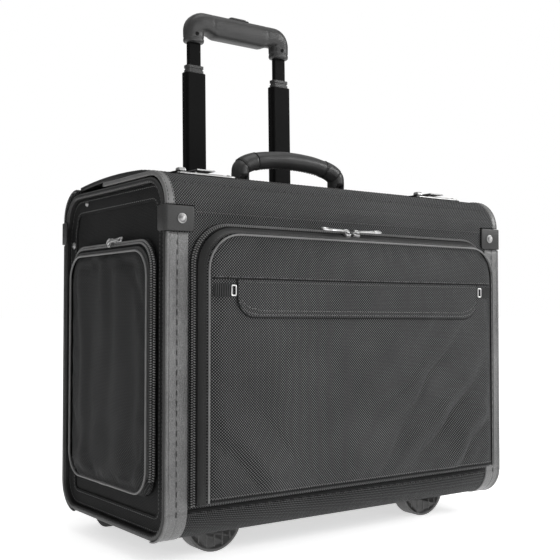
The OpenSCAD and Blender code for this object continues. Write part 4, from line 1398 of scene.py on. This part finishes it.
def round_outline(x0, x1, y0, y1, r, count=32):
    pts = []
    for cx, cy, start in ((x1 - r, y1 - r, 0), (x0 + r, y1 - r, 90), (x0 + r, y0 + r, 180),
                          (x1 - r, y0 + r, 270)):
        for k in range(7):
            t = radians(start + 15 * k)
            pts.append((cx + r * cos(t), cy + r * sin(t)))
    return outline(pts, count)


PULL_RISE, PULL_REACH = 0.0012, 0.036


def lifted(points):
    """Bends a pull's points up towards its far end."""
    return [Vector((v.x, v.y, v.z + PULL_RISE * (v.x / PULL_REACH) ** 2)) for v in points]


def zip_parts(word, turn, way):
    """A slider and its pull, in the CAD slider's own place. way is the pull's direction."""
    slider, pull = f"{word}_zip_slider", f"{word}_zip_pull"
    lo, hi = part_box(slider)
    frame_at = Matrix.Translation((lo + hi) / 2) @ turn @ Matrix.Translation(mm(0, 0, -2.3))
    # Body: a wedge that is wide in front and narrow behind, in two plates with a core.
    wedge = [(-4, -3.1), (-2.6, -4.6), (1.4, -5.4), (3.6, -4.7), (4, -3.4)]
    wedge += [(x, -y) for x, y in reversed(wedge)]
    wedge = outline([(x * way, y) for x, y in wedge], 40)
    core = closed_loft([[mm(x * grow, y * grow, z) for x, y in wedge] for z, grow in (
        (0.3, 0.94), (0.6, 1.0), (1.3, 1.0), (1.55, 0.9), (2.0, 0.9), (2.2, 1.0), (2.9, 1.0),
        (3.2, 0.93))])
    # Bridge that holds the pull.
    arch = resample([mm(x * way, 0, z) for x, z in (
        (-3.1, 2.9), (-3.0, 3.9), (-2.2, 4.35), (0, 4.45), (2.2, 4.35), (3.0, 3.9), (3.1, 2.9))],
        0.7 * MM)
    bridge = sweep_data(arch, soft_rect(-0.35, 0.35, -1.2, 1.2, 0.3, 2),
                        carried_normals(arch, False, UP))
    verts, faces = joined([core, bridge])
    piece(f"{slider}_body", turned(verts, frame_at), faces, CHROME, slider, [slider], sharp=35)
    # Pull: a loop round the bridge, a neck, and a tapered tongue with a slot near its end.
    half = [(3.6, -1.2), (6, -1.3), (12, -1.8), (28, -2.8), (34, -2.9), (35.3, -2.1)]
    outer = outline(half + [(35.6, 0)] + [(x, -y) for x, y in reversed(half)], 48)
    hole = round_outline(26.5, 33.0, -1.6, 1.6, 1.0, 48)
    # Both outlines start on the same side, so the faces between them don't cross.
    start = max(range(48), key=lambda i: outer[i][0])
    outer = outer[start:] + outer[:start]
    start = max(range(48), key=lambda i: hole[i][0])
    hole = hole[start:] + hole[:start]
    verts, faces = plate_with_hole(outer, hole, 4.75, 5.95)
    verts = [Vector((v.x * way, v.y, v.z)) for v in lifted(verts)]
    rim = lifted([mm(x * way, y, 6.0) for x, y in round_outline(26.0, 33.5, -2.1, 2.1, 1.2, 36)])
    ridge = lifted([mm(x * way, 0, 5.95) for x in range(8, 25)])
    hoop = [mm((1.2 + 3.1 * cos(t)) * way, 3.1 * sin(t), 5.2)
            for t in [2 * pi * k / 28 for k in range(28)]]
    verts, faces = joined([(verts, faces), sweep_data(rim, circle(0.35, 8), UP, True),
                           sweep_data(ridge, circle(0.6, 8, 1.5), UP),
                           sweep_data(hoop, circle(0.75, 8), UP, True)])
    piece(f"{pull}_tongue", turned(verts, frame_at), faces, CHROME, pull, [pull], sharp=35)


GUSSET_TILT = atan2(12, 23)
tilt_x = Matrix.Rotation(GUSSET_TILT, 4, "X")
zip_parts("front_left", tilt_x, -1)
zip_parts("front_right", tilt_x, 1)
SIDE_TILT = atan2(17, 7)
for side, word in SIDES:
    turn = Matrix.Rotation(side * SIDE_TILT, 4, "Y") @ Matrix.Rotation(radians(-90), 4, "Z")
    zip_parts(word, turn, 1)


# ---------------------------------------------------------------- locks and hasps

LOCK_LO, LOCK_HI = case_box("lock_cases")
LOCK_Y = (LOCK_LO.y + LOCK_HI.y) / 2
LOCK_X = LOCK_HI.x - 36


def loft_plate(cx, cy, half_x, half_y, r, levels):
    """Rounded plate through (height, inset) levels, in the case's frame."""
    rings = []
    for z, inset in levels:
        rings.append([at(cx + x, cy + y, z) for x, y in
                      round_outline(-half_x + inset, half_x - inset, -half_y + inset, half_y - inset,
                                    max(r - inset, 0.3), 48)])
    return closed_loft(rings)


for side, word in SIDES:
    cx = side * LOCK_X
    z = LOCK_LO.z
    verts, faces = loft_plate(cx, LOCK_Y, 36.5, 10.8, 3.4, [(z + 0.2, 0), (z + 1.1, 0), (z + 1.3, 0.3)])
    piece(f"{word}_lock_base", verts, faces, DARK_METAL, "front_lid", sharp=35)
    shell = loft_plate(cx, LOCK_Y, 34.8, 9.2, 3.0,
                       [(z + 1.3, 0), (z + 2.5, 0.15), (z + 3.1, 0.7), (z + 3.3, 1.6)])
    raised = loft_plate(cx + 6, LOCK_Y, 15.5, 6.6, 2.4, [(z + 3.2, 0), (z + 3.8, 0.25), (z + 4.0, 0.9)])
    key = lathe([(3.3, 0), (3.3, 0.35), (2.9, 0.55), (2.2, 0.5), (2.0, 0.15), (0, 0.1)],
                at(cx + 14, LOCK_Y, z + 4.0), UP, 28)
    domes = [lathe([(r * 0.5, h * 0.42) for r, h in DOME], at(cx + dx, LOCK_Y + dy, z + 3.2), UP, 20)
             for dx, dy in ((-12.5, 5.4), (-12.5, -5.4), (27, 5.2), (27, -5.2))]
    group(f"{word}_lock_shell", [shell, raised, key] + domes, SATIN, "front_lid",
          ["lock_cases"] if side < 0 else (), sharp=35)
    tip = loft_plate(cx - 29.5, LOCK_Y, 8.5, 6.2, 2.2, [(z + 3.0, 0), (z + 3.5, 0.2), (z + 3.7, 0.7)])
    piece(f"{word}_lock_track", *tip, DARK_METAL, "front_lid", sharp=35)
    slide_lo, slide_hi = case_box(f"{word}_lock_slide")
    sx, sy = (slide_lo.x + slide_hi.x) / 2, (slide_lo.y + slide_hi.y) / 2
    z = slide_hi.z
    knob = loft_plate(sx, sy, 4.5, 4.0, 1.2,
                      [(z - 4.0, 0.5), (z - 3.2, 0), (z - 1.0, 0.3), (z - 0.2, 1.0)])
    ribs = []
    for k in (-2.2, 0, 2.2):
        line = [at(sx + k, sy + y, z - 0.25) for y in (-2.6, -1.3, 0, 1.3, 2.6)]
        ribs.append(sweep_data(line, circle(0.4, 8), UP))
    group(f"{word}_lock_thumb", [knob] + ribs, SATIN, f"{word}_lock_slide",
          [f"{word}_lock_slide"], sharp=35)
    paint(f"{word}_hasp", SATIN, 0.35, 2)
    hasp_lo, hasp_hi = case_box(f"{word}_hasp")
    hx = (hasp_lo.x + hasp_hi.x) / 2
    z = hasp_hi.z
    emboss = loft_plate(hx, hasp_lo.y + 9.5, 7.2, 5.6, 2.4,
                        [(z - 2.4, 0), (z - 2.0, 0.2), (z - 1.7, 0.8)])
    piece(f"{word}_hasp_emboss", *emboss, SATIN, f"{word}_hasp", sharp=35)
paint("hasp_hinges", SATIN, 0.3, 2)
hinge_lo, hinge_hi = case_box("hasp_hinges")
heads = []
for side in (-1, 1):
    for dx in (-7, 7):
        heads.append(lathe([(r * 0.42, h * 0.4) for r, h in DOME],
                           at(side * LOCK_X + dx, hinge_hi.y - 4, hinge_lo.z + 2.2), UP, 18))
group("hasp_hinge_rivets", heads, STEEL, "rear_lid")


# ---------------------------------------------------------------- carry handle

GRIP_LO, GRIP_HI = case_box("handle_grip")
HANDLE_Y = (GRIP_LO.y + GRIP_HI.y) / 2
HANDLE_X = GRIP_HI.x - 11
TONGUE_R = 4.9
AXIS_Z = GRIP_LO.z + TONGUE_R
LEG_Z = AXIS_Z + 4.8
APEX_Z = GRIP_HI.z - 10.6
POWER = 2.1
BEND_Z = LEG_Z + 6.5
arch = [at(-HANDLE_X, HANDLE_Y, LEG_Z), at(-HANDLE_X, HANDLE_Y, LEG_Z + 3)]
for i in range(121):
    t = pi * i / 120
    c, sn = -cos(t), sin(t)
    arch.append(at(HANDLE_X * copysign(abs(c) ** (2 / POWER), c), HANDLE_Y,
                   BEND_Z + (APEX_Z - BEND_Z) * sn ** (2 / POWER)))
arch += [at(HANDLE_X, HANDLE_Y, LEG_Z + 3), at(HANDLE_X, HANDLE_Y, LEG_Z)]
arch = resample(arch, 1.2 * MM)
run = lengths(arch)
total = run[-1]
grow = []
for s_here in run:
    d = min(s_here, total - s_here)
    r = 10.6 + 0.5 * exp(-((s_here - total / 2) / 45) ** 2)
    if d < 32:
        r = 11.3
    if d < 13:
        r = 10.9
    r -= 0.9 * exp(-((d - 13) / 0.8) ** 2) + 0.9 * exp(-((d - 32) / 0.8) ** 2)
    if d < 2.5:
        r -= 2.2 * (1 - d / 2.5) ** 2
    grow.append((r / 11, r / 11))
normals = carried_normals(arch, False, Vector((-1, 0, 0)))
section = []
for k in range(28):
    t = 2 * pi * k / 28
    a, b = cos(t), sin(t)
    pull_in = 0.55 * exp(-((t - pi) / 0.16) ** 2)
    section.append(((10.4 - pull_in) * a * MM, 10.9 * b * MM))
grip = sweep("handle_pad", arch, section, normals, HANDLE_LEATHER, "carry_handle",
             replaces=["handle_grip"], grow=grow)
for v in grip.data.vertices:
    x, z = v.co.x / MM, v.co.z / MM
    v.co += v.normal * (0.25 * noise.noise(Vector((x * 0.05, v.co.y / MM * 0.06, z * 0.05))) * MM)
rows = []
for sign in (-1, 1):
    pts = [p - n * (10.3 * MM) + Vector((0, sign * 2.0 * MM, 0)) for p, n in zip(arch, normals)]
    rows.append((pts[28:-28], [-n for n in normals][28:-28]))
stitches("handle_seam_stitches", *rows[0], THREAD, "carry_handle", 4.0, 2.9, 0.9, 0.8, 0,
         runs=rows[1:])
parts = []
for d in (13.0, 32.0):
    for s_at in (d, total - d):
        k = min(range(len(run)), key=lambda i: abs(run[i] - s_at))
        n0 = normals[k]
        side_dir = tangents(arch, False)[k].cross(n0)
        ring = [arch[k] + (n0 * cos(t) * 10.35 + side_dir * sin(t) * 10.7) * MM
                for t in [2 * pi * j / 40 for j in range(40)]]
        out_dirs = [(p - arch[k]).normalized() for p in ring]
        parts.append(sweep_data(ring, circle(0.55, 8), out_dirs, True))
group("handle_seam_rings", parts, VINYL, "carry_handle")
# Two cheeks of leather at each end go down round the loop's knuckle.
cheek = [(TONGUE_R * sin(radians(t)), -TONGUE_R * cos(radians(t))) for t in range(-90, 91, 15)]
flare = [(7.0, 2.8), (9.0, 5.6), (9.8, 7.4), (8.6, 9.0)]
cheek += flare + [(-y, z) for y, z in reversed(flare)]
cheek = outline(cheek, 60)
parts = []
for end_x in (-HANDLE_X, HANDLE_X):
    for way in (-1, 1):
        levels = []
        for dx, inset in ((4.9, 0.5), (5.3, 0.0), (8.0, 0.0), (9.2, 0.8), (9.9, 2.2)):
            reach = sqrt(10.5 ** 2 - dx ** 2)
            levels.append([at(end_x + way * dx, HANDLE_Y + max(-reach, min(reach, y * (1 - inset / 9))),
                              AXIS_Z + z + inset * (z < 2) * 0.7) for y, z in cheek])
        parts.append(closed_loft(levels))
group("handle_end_cheeks", parts, HANDLE_LEATHER, "carry_handle", sharp=50)
paint("handle_loops", CHROME)
paint("handle_mounts", CHROME, 0.5, 2)


# ---------------------------------------------------------------- trolley

POST_LEAN = radians(1.2)
LEAN_Z = 371.0
POST_Y = 108.4
lean = (Matrix.Translation(at(0, POST_Y, LEAN_Z)) @ Matrix.Rotation(-POST_LEAN, 4, "X")
        @ Matrix.Translation(mm(0, 0, -LEAN_Z)))
POST_X = 66.4
ELBOW_Z, BAR_Z = 586.0, 613.0
for name, mat, bevel in (("outer_tubes", ALUMINIUM, None), ("middle_tubes", ALUMINIUM, None),
                         ("inner_tubes", ALUMINIUM, None), ("middle_collars", GREY_PLASTIC, 0.4),
                         ("outer_tube_bushes", BLACK_PLASTIC, None), ("trolley_bezel", BLACK_PLASTIC, 0.8),
                         ("left_post_housing", ALUMINIUM, None), ("right_post_housing", ALUMINIUM, None),
                         ("housing_foot_plate", GREY_PLASTIC, 0.4), ("release_rods", STEEL, None),
                         ("release_button", BLACK_PLASTIC, 1.0)):
    paint(name, mat, bevel)

# Grip: legs that come up over the inner tubes and bend into a bar that swells under the fingers.
bend = 12.0
leg_top = BAR_Z - bend
leg = [(-POST_X, ELBOW_Z + (leg_top - ELBOW_Z) * i / 14) for i in range(15)]
for k in range(1, 9):
    t = radians(90 * k / 8)
    leg.append((-POST_X + bend - bend * cos(t), leg_top + (BAR_Z - leg_top) * sin(t)))
line = leg + [(-POST_X + bend + (2 * POST_X - 2 * bend) * i / 60, BAR_Z) for i in range(1, 60)]
line += [(-x, z) for x, z in reversed(leg)]
path = [lean @ mm(x, 0, z) for x, z in line]
normals = []
for d in tangents(path, False):
    side_y = (lean.to_3x3() @ Vector((0, 1, 0)))
    normals.append(d.cross(side_y).normalized() * -1)
if normals[0].x > 0:
    normals = [-n for n in normals]


def smooth_step(x):
    x = max(0.0, min(1.0, x))
    return x * x * (3 - 2 * x)


run = lengths(path)
total = run[-1]
grow = []
for s_here in run:
    d = min(s_here, total - s_here)
    ease = smooth_step((d - 9) / 20)
    half_a = 13.3 - 0.4 * ease
    half_b = 9.5 + (12.8 - 9.5) * ease
    for seam in (6.0, 46.0):
        dent = 0.6 * exp(-((d - seam) / 0.8) ** 2)
        half_a -= dent
        half_b -= dent
    if d < 2.2:
        half_a -= 0.9 * (1 - d / 2.2) ** 2
        half_b -= 0.9 * (1 - d / 2.2) ** 2
    grow.append((half_a / 10, half_b / 10))
section = []
for k in range(36):
    t = 2 * pi * k / 36
    c, sn = cos(t), sin(t)
    section.append((10 * copysign(abs(c) ** 0.72, c) * MM,
                    10 * copysign(abs(sn) ** 0.72, sn) * MM))
grip = sweep("trolley_grip_shell", path, section, normals, GREY_PLASTIC, "trolley_inner",
             replaces=["trolley_grip"], grow=grow)
for v in grip.data.vertices:
    local = lean.inverted() @ v.co
    x, z = local.x / MM, local.z / MM
    if z < BAR_Z:
        v.co.z -= 4.6 * smooth_step((50 - abs(x)) / 16) * smooth_step((BAR_Z - z) / 12) * MM
rim = [lean @ mm(x, y, BAR_Z + 12.7) for x, y in round_outline(-15.2, 15.2, -7.0, 7.0, 4.4, 48)]
tube("grip_button_rim", rim, 0.9, GREY_PLASTIC, "trolley_inner", (), 10, UP)
SCREW = [(2.5, 0), (2.5, 0.5), (2.2, 0.85), (1.3, 0.85), (1.15, 0.25), (0, 0.2)]
heads = []
front_dir = lean.to_3x3() @ Vector((0, -1, 0))
for x in (-POST_X, POST_X):
    for way in (1, -1):
        heads.append(lathe(SCREW, lean @ mm(x, -9.4 * way, ELBOW_Z + 10), front_dir * way, 24))
group("grip_screw_heads", heads, DARK_METAL, "trolley_inner", ["grip_screws"])

# Small locking holes near the outer tubes' tops, and their lip rings.
OUT_TOP = 546.0
pips = []
for x in (-POST_X, POST_X):
    for dz in (12, 19, 26):
        pips.append(lathe([(1.9, 0), (1.9, 0.18), (1.5, 0.22), (1.1, -0.1), (0, -0.1)],
                          lean @ mm(x - 14.5, 0, OUT_TOP - dz), lean.to_3x3() @ Vector((-1, 0, 0)), 18))
    pips.append(lathe([(2.6, 0), (2.6, 0.2), (2.1, 0.25), (1.7, -0.1), (0, -0.1)],
                      lean @ mm(x, 7.0, OUT_TOP - 20), lean.to_3x3() @ Vector((0, 1, 0)), 20))
group("tube_locking_holes", pips, DARK_METAL, "trolley_outer")
lips = []
for x in (-POST_X, POST_X):
    ring = [lean @ mm(x + a, b, OUT_TOP + 0.1)
            for a, b in round_outline(-14.0, 14.0, -6.5, 6.5, 3.6, 44)]
    lips.append(sweep_data(ring, circle(0.55, 8), UP, True))
group("outer_tube_lips", lips, BLACK_PLASTIC, "trolley_outer")
# Bezel: a raised guide round each tube, and three screws.
BEZEL_TOP = case_box("trolley_bezel")[1].z
rings = []
for x in (-POST_X, POST_X):
    ring = [at(x + a, POST_Y + b + 0.3, BEZEL_TOP + 0.3)
            for a, b in round_outline(-16.3, 16.3, -8.8, 8.8, 5.0, 44)]
    rings.append(sweep_data(ring, circle(1.1, 10), UP, True))
group("bezel_tube_guides", rings, GREY_PLASTIC, "case")
heads = [lathe([(r * 1.1, h) for r, h in SCREW], at(x, POST_Y - 1, BEZEL_TOP - 0.1), UP, 24)
         for x in (-38, 38, 0)]
group("bezel_screws", heads, STEEL, "case")


# ---------------------------------------------------------------- feet, wheels

FOOT_X, FOOT_R = 150.0, 34.0
FOOT_Z = FOOT_R - 4.5
FOOT_Y0, FOOT_Y1 = -74.0, -56.0
FOOT_RIBS_TOP = 0.025
for side, word in SIDES:
    rings = []
    top = REST_BASE + 0.4
    for y, inset in ((FOOT_Y0, 2.6), (FOOT_Y0 + 0.3, 1.7), (FOOT_Y0 + 1.2, 0.6), (FOOT_Y0 + 2.6, 0.0),
                     (FOOT_Y1 - 2.6, 0.0), (FOOT_Y1 - 1.2, 0.6), (FOOT_Y1 - 0.3, 1.7), (FOOT_Y1, 2.6)):
        r = FOOT_R - inset
        half_angle = acos((FOOT_Z - top) / r)
        ring = []
        for k in range(41):
            t = -pi / 2 - half_angle + 2 * half_angle * k / 40
            ring.append(at(side * FOOT_X + r * cos(t), y, FOOT_Z + r * sin(t)))
        rings.append(ring)
    verts, faces = closed_loft(rings)
    piece(f"{word}_foot_block", verts, faces, FOOT_PLASTIC, "case", sharp=40)
    parts = []
    for dx in (-19, -9.5, 0, 9.5, 19):
        z = FOOT_Z - sqrt((FOOT_R - 2.0) ** 2 - dx ** 2)
        line = [at(side * FOOT_X + dx, FOOT_Y0 - 0.05, z + h) for h in (3.0, 6, 10, 14, 17)]
        line = [p for p in line if p.z < FOOT_RIBS_TOP]
        if len(line) > 1:
            parts.append(sweep_data(line, circle(0.7, 8), Vector((0, -1, 0))))
    group(f"{word}_foot_ribs", parts, FOOT_PLASTIC, "case")
paint("front_feet", FOOT_PLASTIC, 0.6)
paint("foot_screws", STEEL, 0.4)
paint("wheel_cups", BLACK_PLASTIC, 0.8)
paint("wheel_axles", STEEL, 0.4)

for side, word in SIDES:
    lo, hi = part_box(f"{word}_wheel_tyre")
    centre = (lo + hi) / 2
    half = (hi.x - lo.x) / 2 / MM
    r0 = 22.05
    shoulder = [(r0, half - 0.4), (25.0, half), (28.2, half - 0.5), (29.5, half - 1.6),
                (29.95, half - 3.2)]
    tread = [(r, -h) for r, h in shoulder]
    for g in (-4.5, 0, 4.5):
        tread += [(30.0, g - 1.0), (29.1, g - 0.7), (29.1, g + 0.7), (30.0, g + 1.0)]
    tread += shoulder[::-1]
    verts = []
    sides = 72
    for r, h in tread:
        for k in range(sides):
            t = 2 * pi * k / sides
            verts.append(centre + mm(h, r * cos(t), r * sin(t)))
    piece(f"{word}_tyre_tread", verts, ring_faces(len(tread), sides, True), RUBBER,
          f"{word}_wheel", [f"{word}_wheel_tyre"], sharp=35)
    paint(f"{word}_wheel_hub", GREY_PLASTIC, 0.5)
    spokes = []
    for k in range(6):
        t = 2 * pi * k / 6
        for face in (-1, 1):
            line = [centre + mm(face * (half - 2.2), r * cos(t), r * sin(t))
                    for r in (9.5, 13, 16, 19.5)]
            spokes.append(sweep_data(line, soft_rect(-1.8, 1.8, -1.3, 1.3, 0.5, 2),
                                     [Vector((face, 0, 0))] * 4))
    group(f"{word}_hub_spokes", spokes, GREY_PLASTIC, f"{word}_wheel")


# ---------------------------------------------------------------- camera, light, floor

CAMERA_AT = (-0.6694, -0.8996, 0.2467)
CAMERA_TURN, CAMERA_PITCH, CAMERA_LENS = 35.867, 2.038, 60.24
cam = bpy.data.cameras.new("camera")
cam.lens, cam.sensor_width = CAMERA_LENS, 36.0
cam.clip_end = 50
cam_obj = bpy.data.objects.new("camera", cam)
scene.collection.objects.link(cam_obj)
cam_obj.location = CAMERA_AT
cam_obj.rotation_euler = (radians(90 + CAMERA_PITCH), 0, radians(-CAMERA_TURN))
scene.camera = cam_obj
scene.view_settings.view_transform = "Standard"

floor_mesh = bpy.data.meshes.new("floor")
size = 40.0
floor_mesh.from_pydata([(-size, -size, 0), (size, -size, 0), (size, size, 0), (-size, size, 0)],
                       [], [(0, 1, 2, 3)])
floor = bpy.data.objects.new("floor", floor_mesh)
scene.collection.objects.link(floor)
floor_mat, floor_tree, floor_bsdf = new_material("pale_floor", Roughness=0.9, Specular_IOR_Level=0.1,
                                                 Emission_Color=(1, 1, 1, 1), Emission_Strength=0.62)
attach(floor_tree, floor_bsdf, ramp(floor_tree, object_noise(floor_tree, 3, 3),
                                    [(0.3, grey(0.9)), (0.7, grey(0.93))]))
floor_mesh.materials.append(floor_mat)
floor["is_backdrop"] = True

world = bpy.data.worlds.new("studio")
scene.world = world
world.use_nodes = True
wt = world.node_tree
wt.nodes.clear()
seen = node(wt, "ShaderNodeBackground", {"Color": (1, 1, 1, 1), "Strength": 1.0})
view_dir = node(wt, "ShaderNodeTexCoord").outputs["Generated"]
way_up = node(wt, "ShaderNodeSeparateXYZ", {0: view_dir}).outputs[2]
sky = ramp(wt, way_up, [(0.0, grey(0.1)), (0.25, grey(0.16)), (0.62, grey(1.0))], True)
lit = node(wt, "ShaderNodeBackground", {"Color": sky, "Strength": 0.62})
ray = node(wt, "ShaderNodeLightPath")
both = node(wt, "ShaderNodeMixShader", {0: ray.outputs["Is Camera Ray"]})
wt.links.new(lit.outputs[0], both.inputs[1])
wt.links.new(seen.outputs[0], both.inputs[2])
out = node(wt, "ShaderNodeOutputWorld")
wt.links.new(both.outputs[0], out.inputs[0])


def softbox(name, place, aim, width, height, power):
    light = bpy.data.lights.new(name, "AREA")
    light.shape = "RECTANGLE"
    light.size, light.size_y, light.energy = width, height, power
    obj = bpy.data.objects.new(name, light)
    scene.collection.objects.link(obj)
    obj.location = place
    obj.rotation_euler = (Vector(aim) - Vector(place)).to_track_quat("-Z", "Y").to_euler()


softbox("strip_box", (0.36, -1.35, 0.45), (-0.1, -0.1, 0.25), 0.5, 1.0, 5)
softbox("top_box", (0.1, -0.5, 2.2), (0, 0, 0.3), 1.6, 1.2, 15)
softbox("front_box", (2.3, -1.7, 1.5), (0, 0, 0.2), 0.9, 0.9, 44)
softbox("camera_strip", (-1.35, -1.25, 0.6), (0, 0, 0.25), 0.1, 1.3, 1.6)
softbox("left_strip", (-2.2, 0.4, 0.9), (0, 0, 0.2), 0.25, 1.6, 2)


low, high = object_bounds()
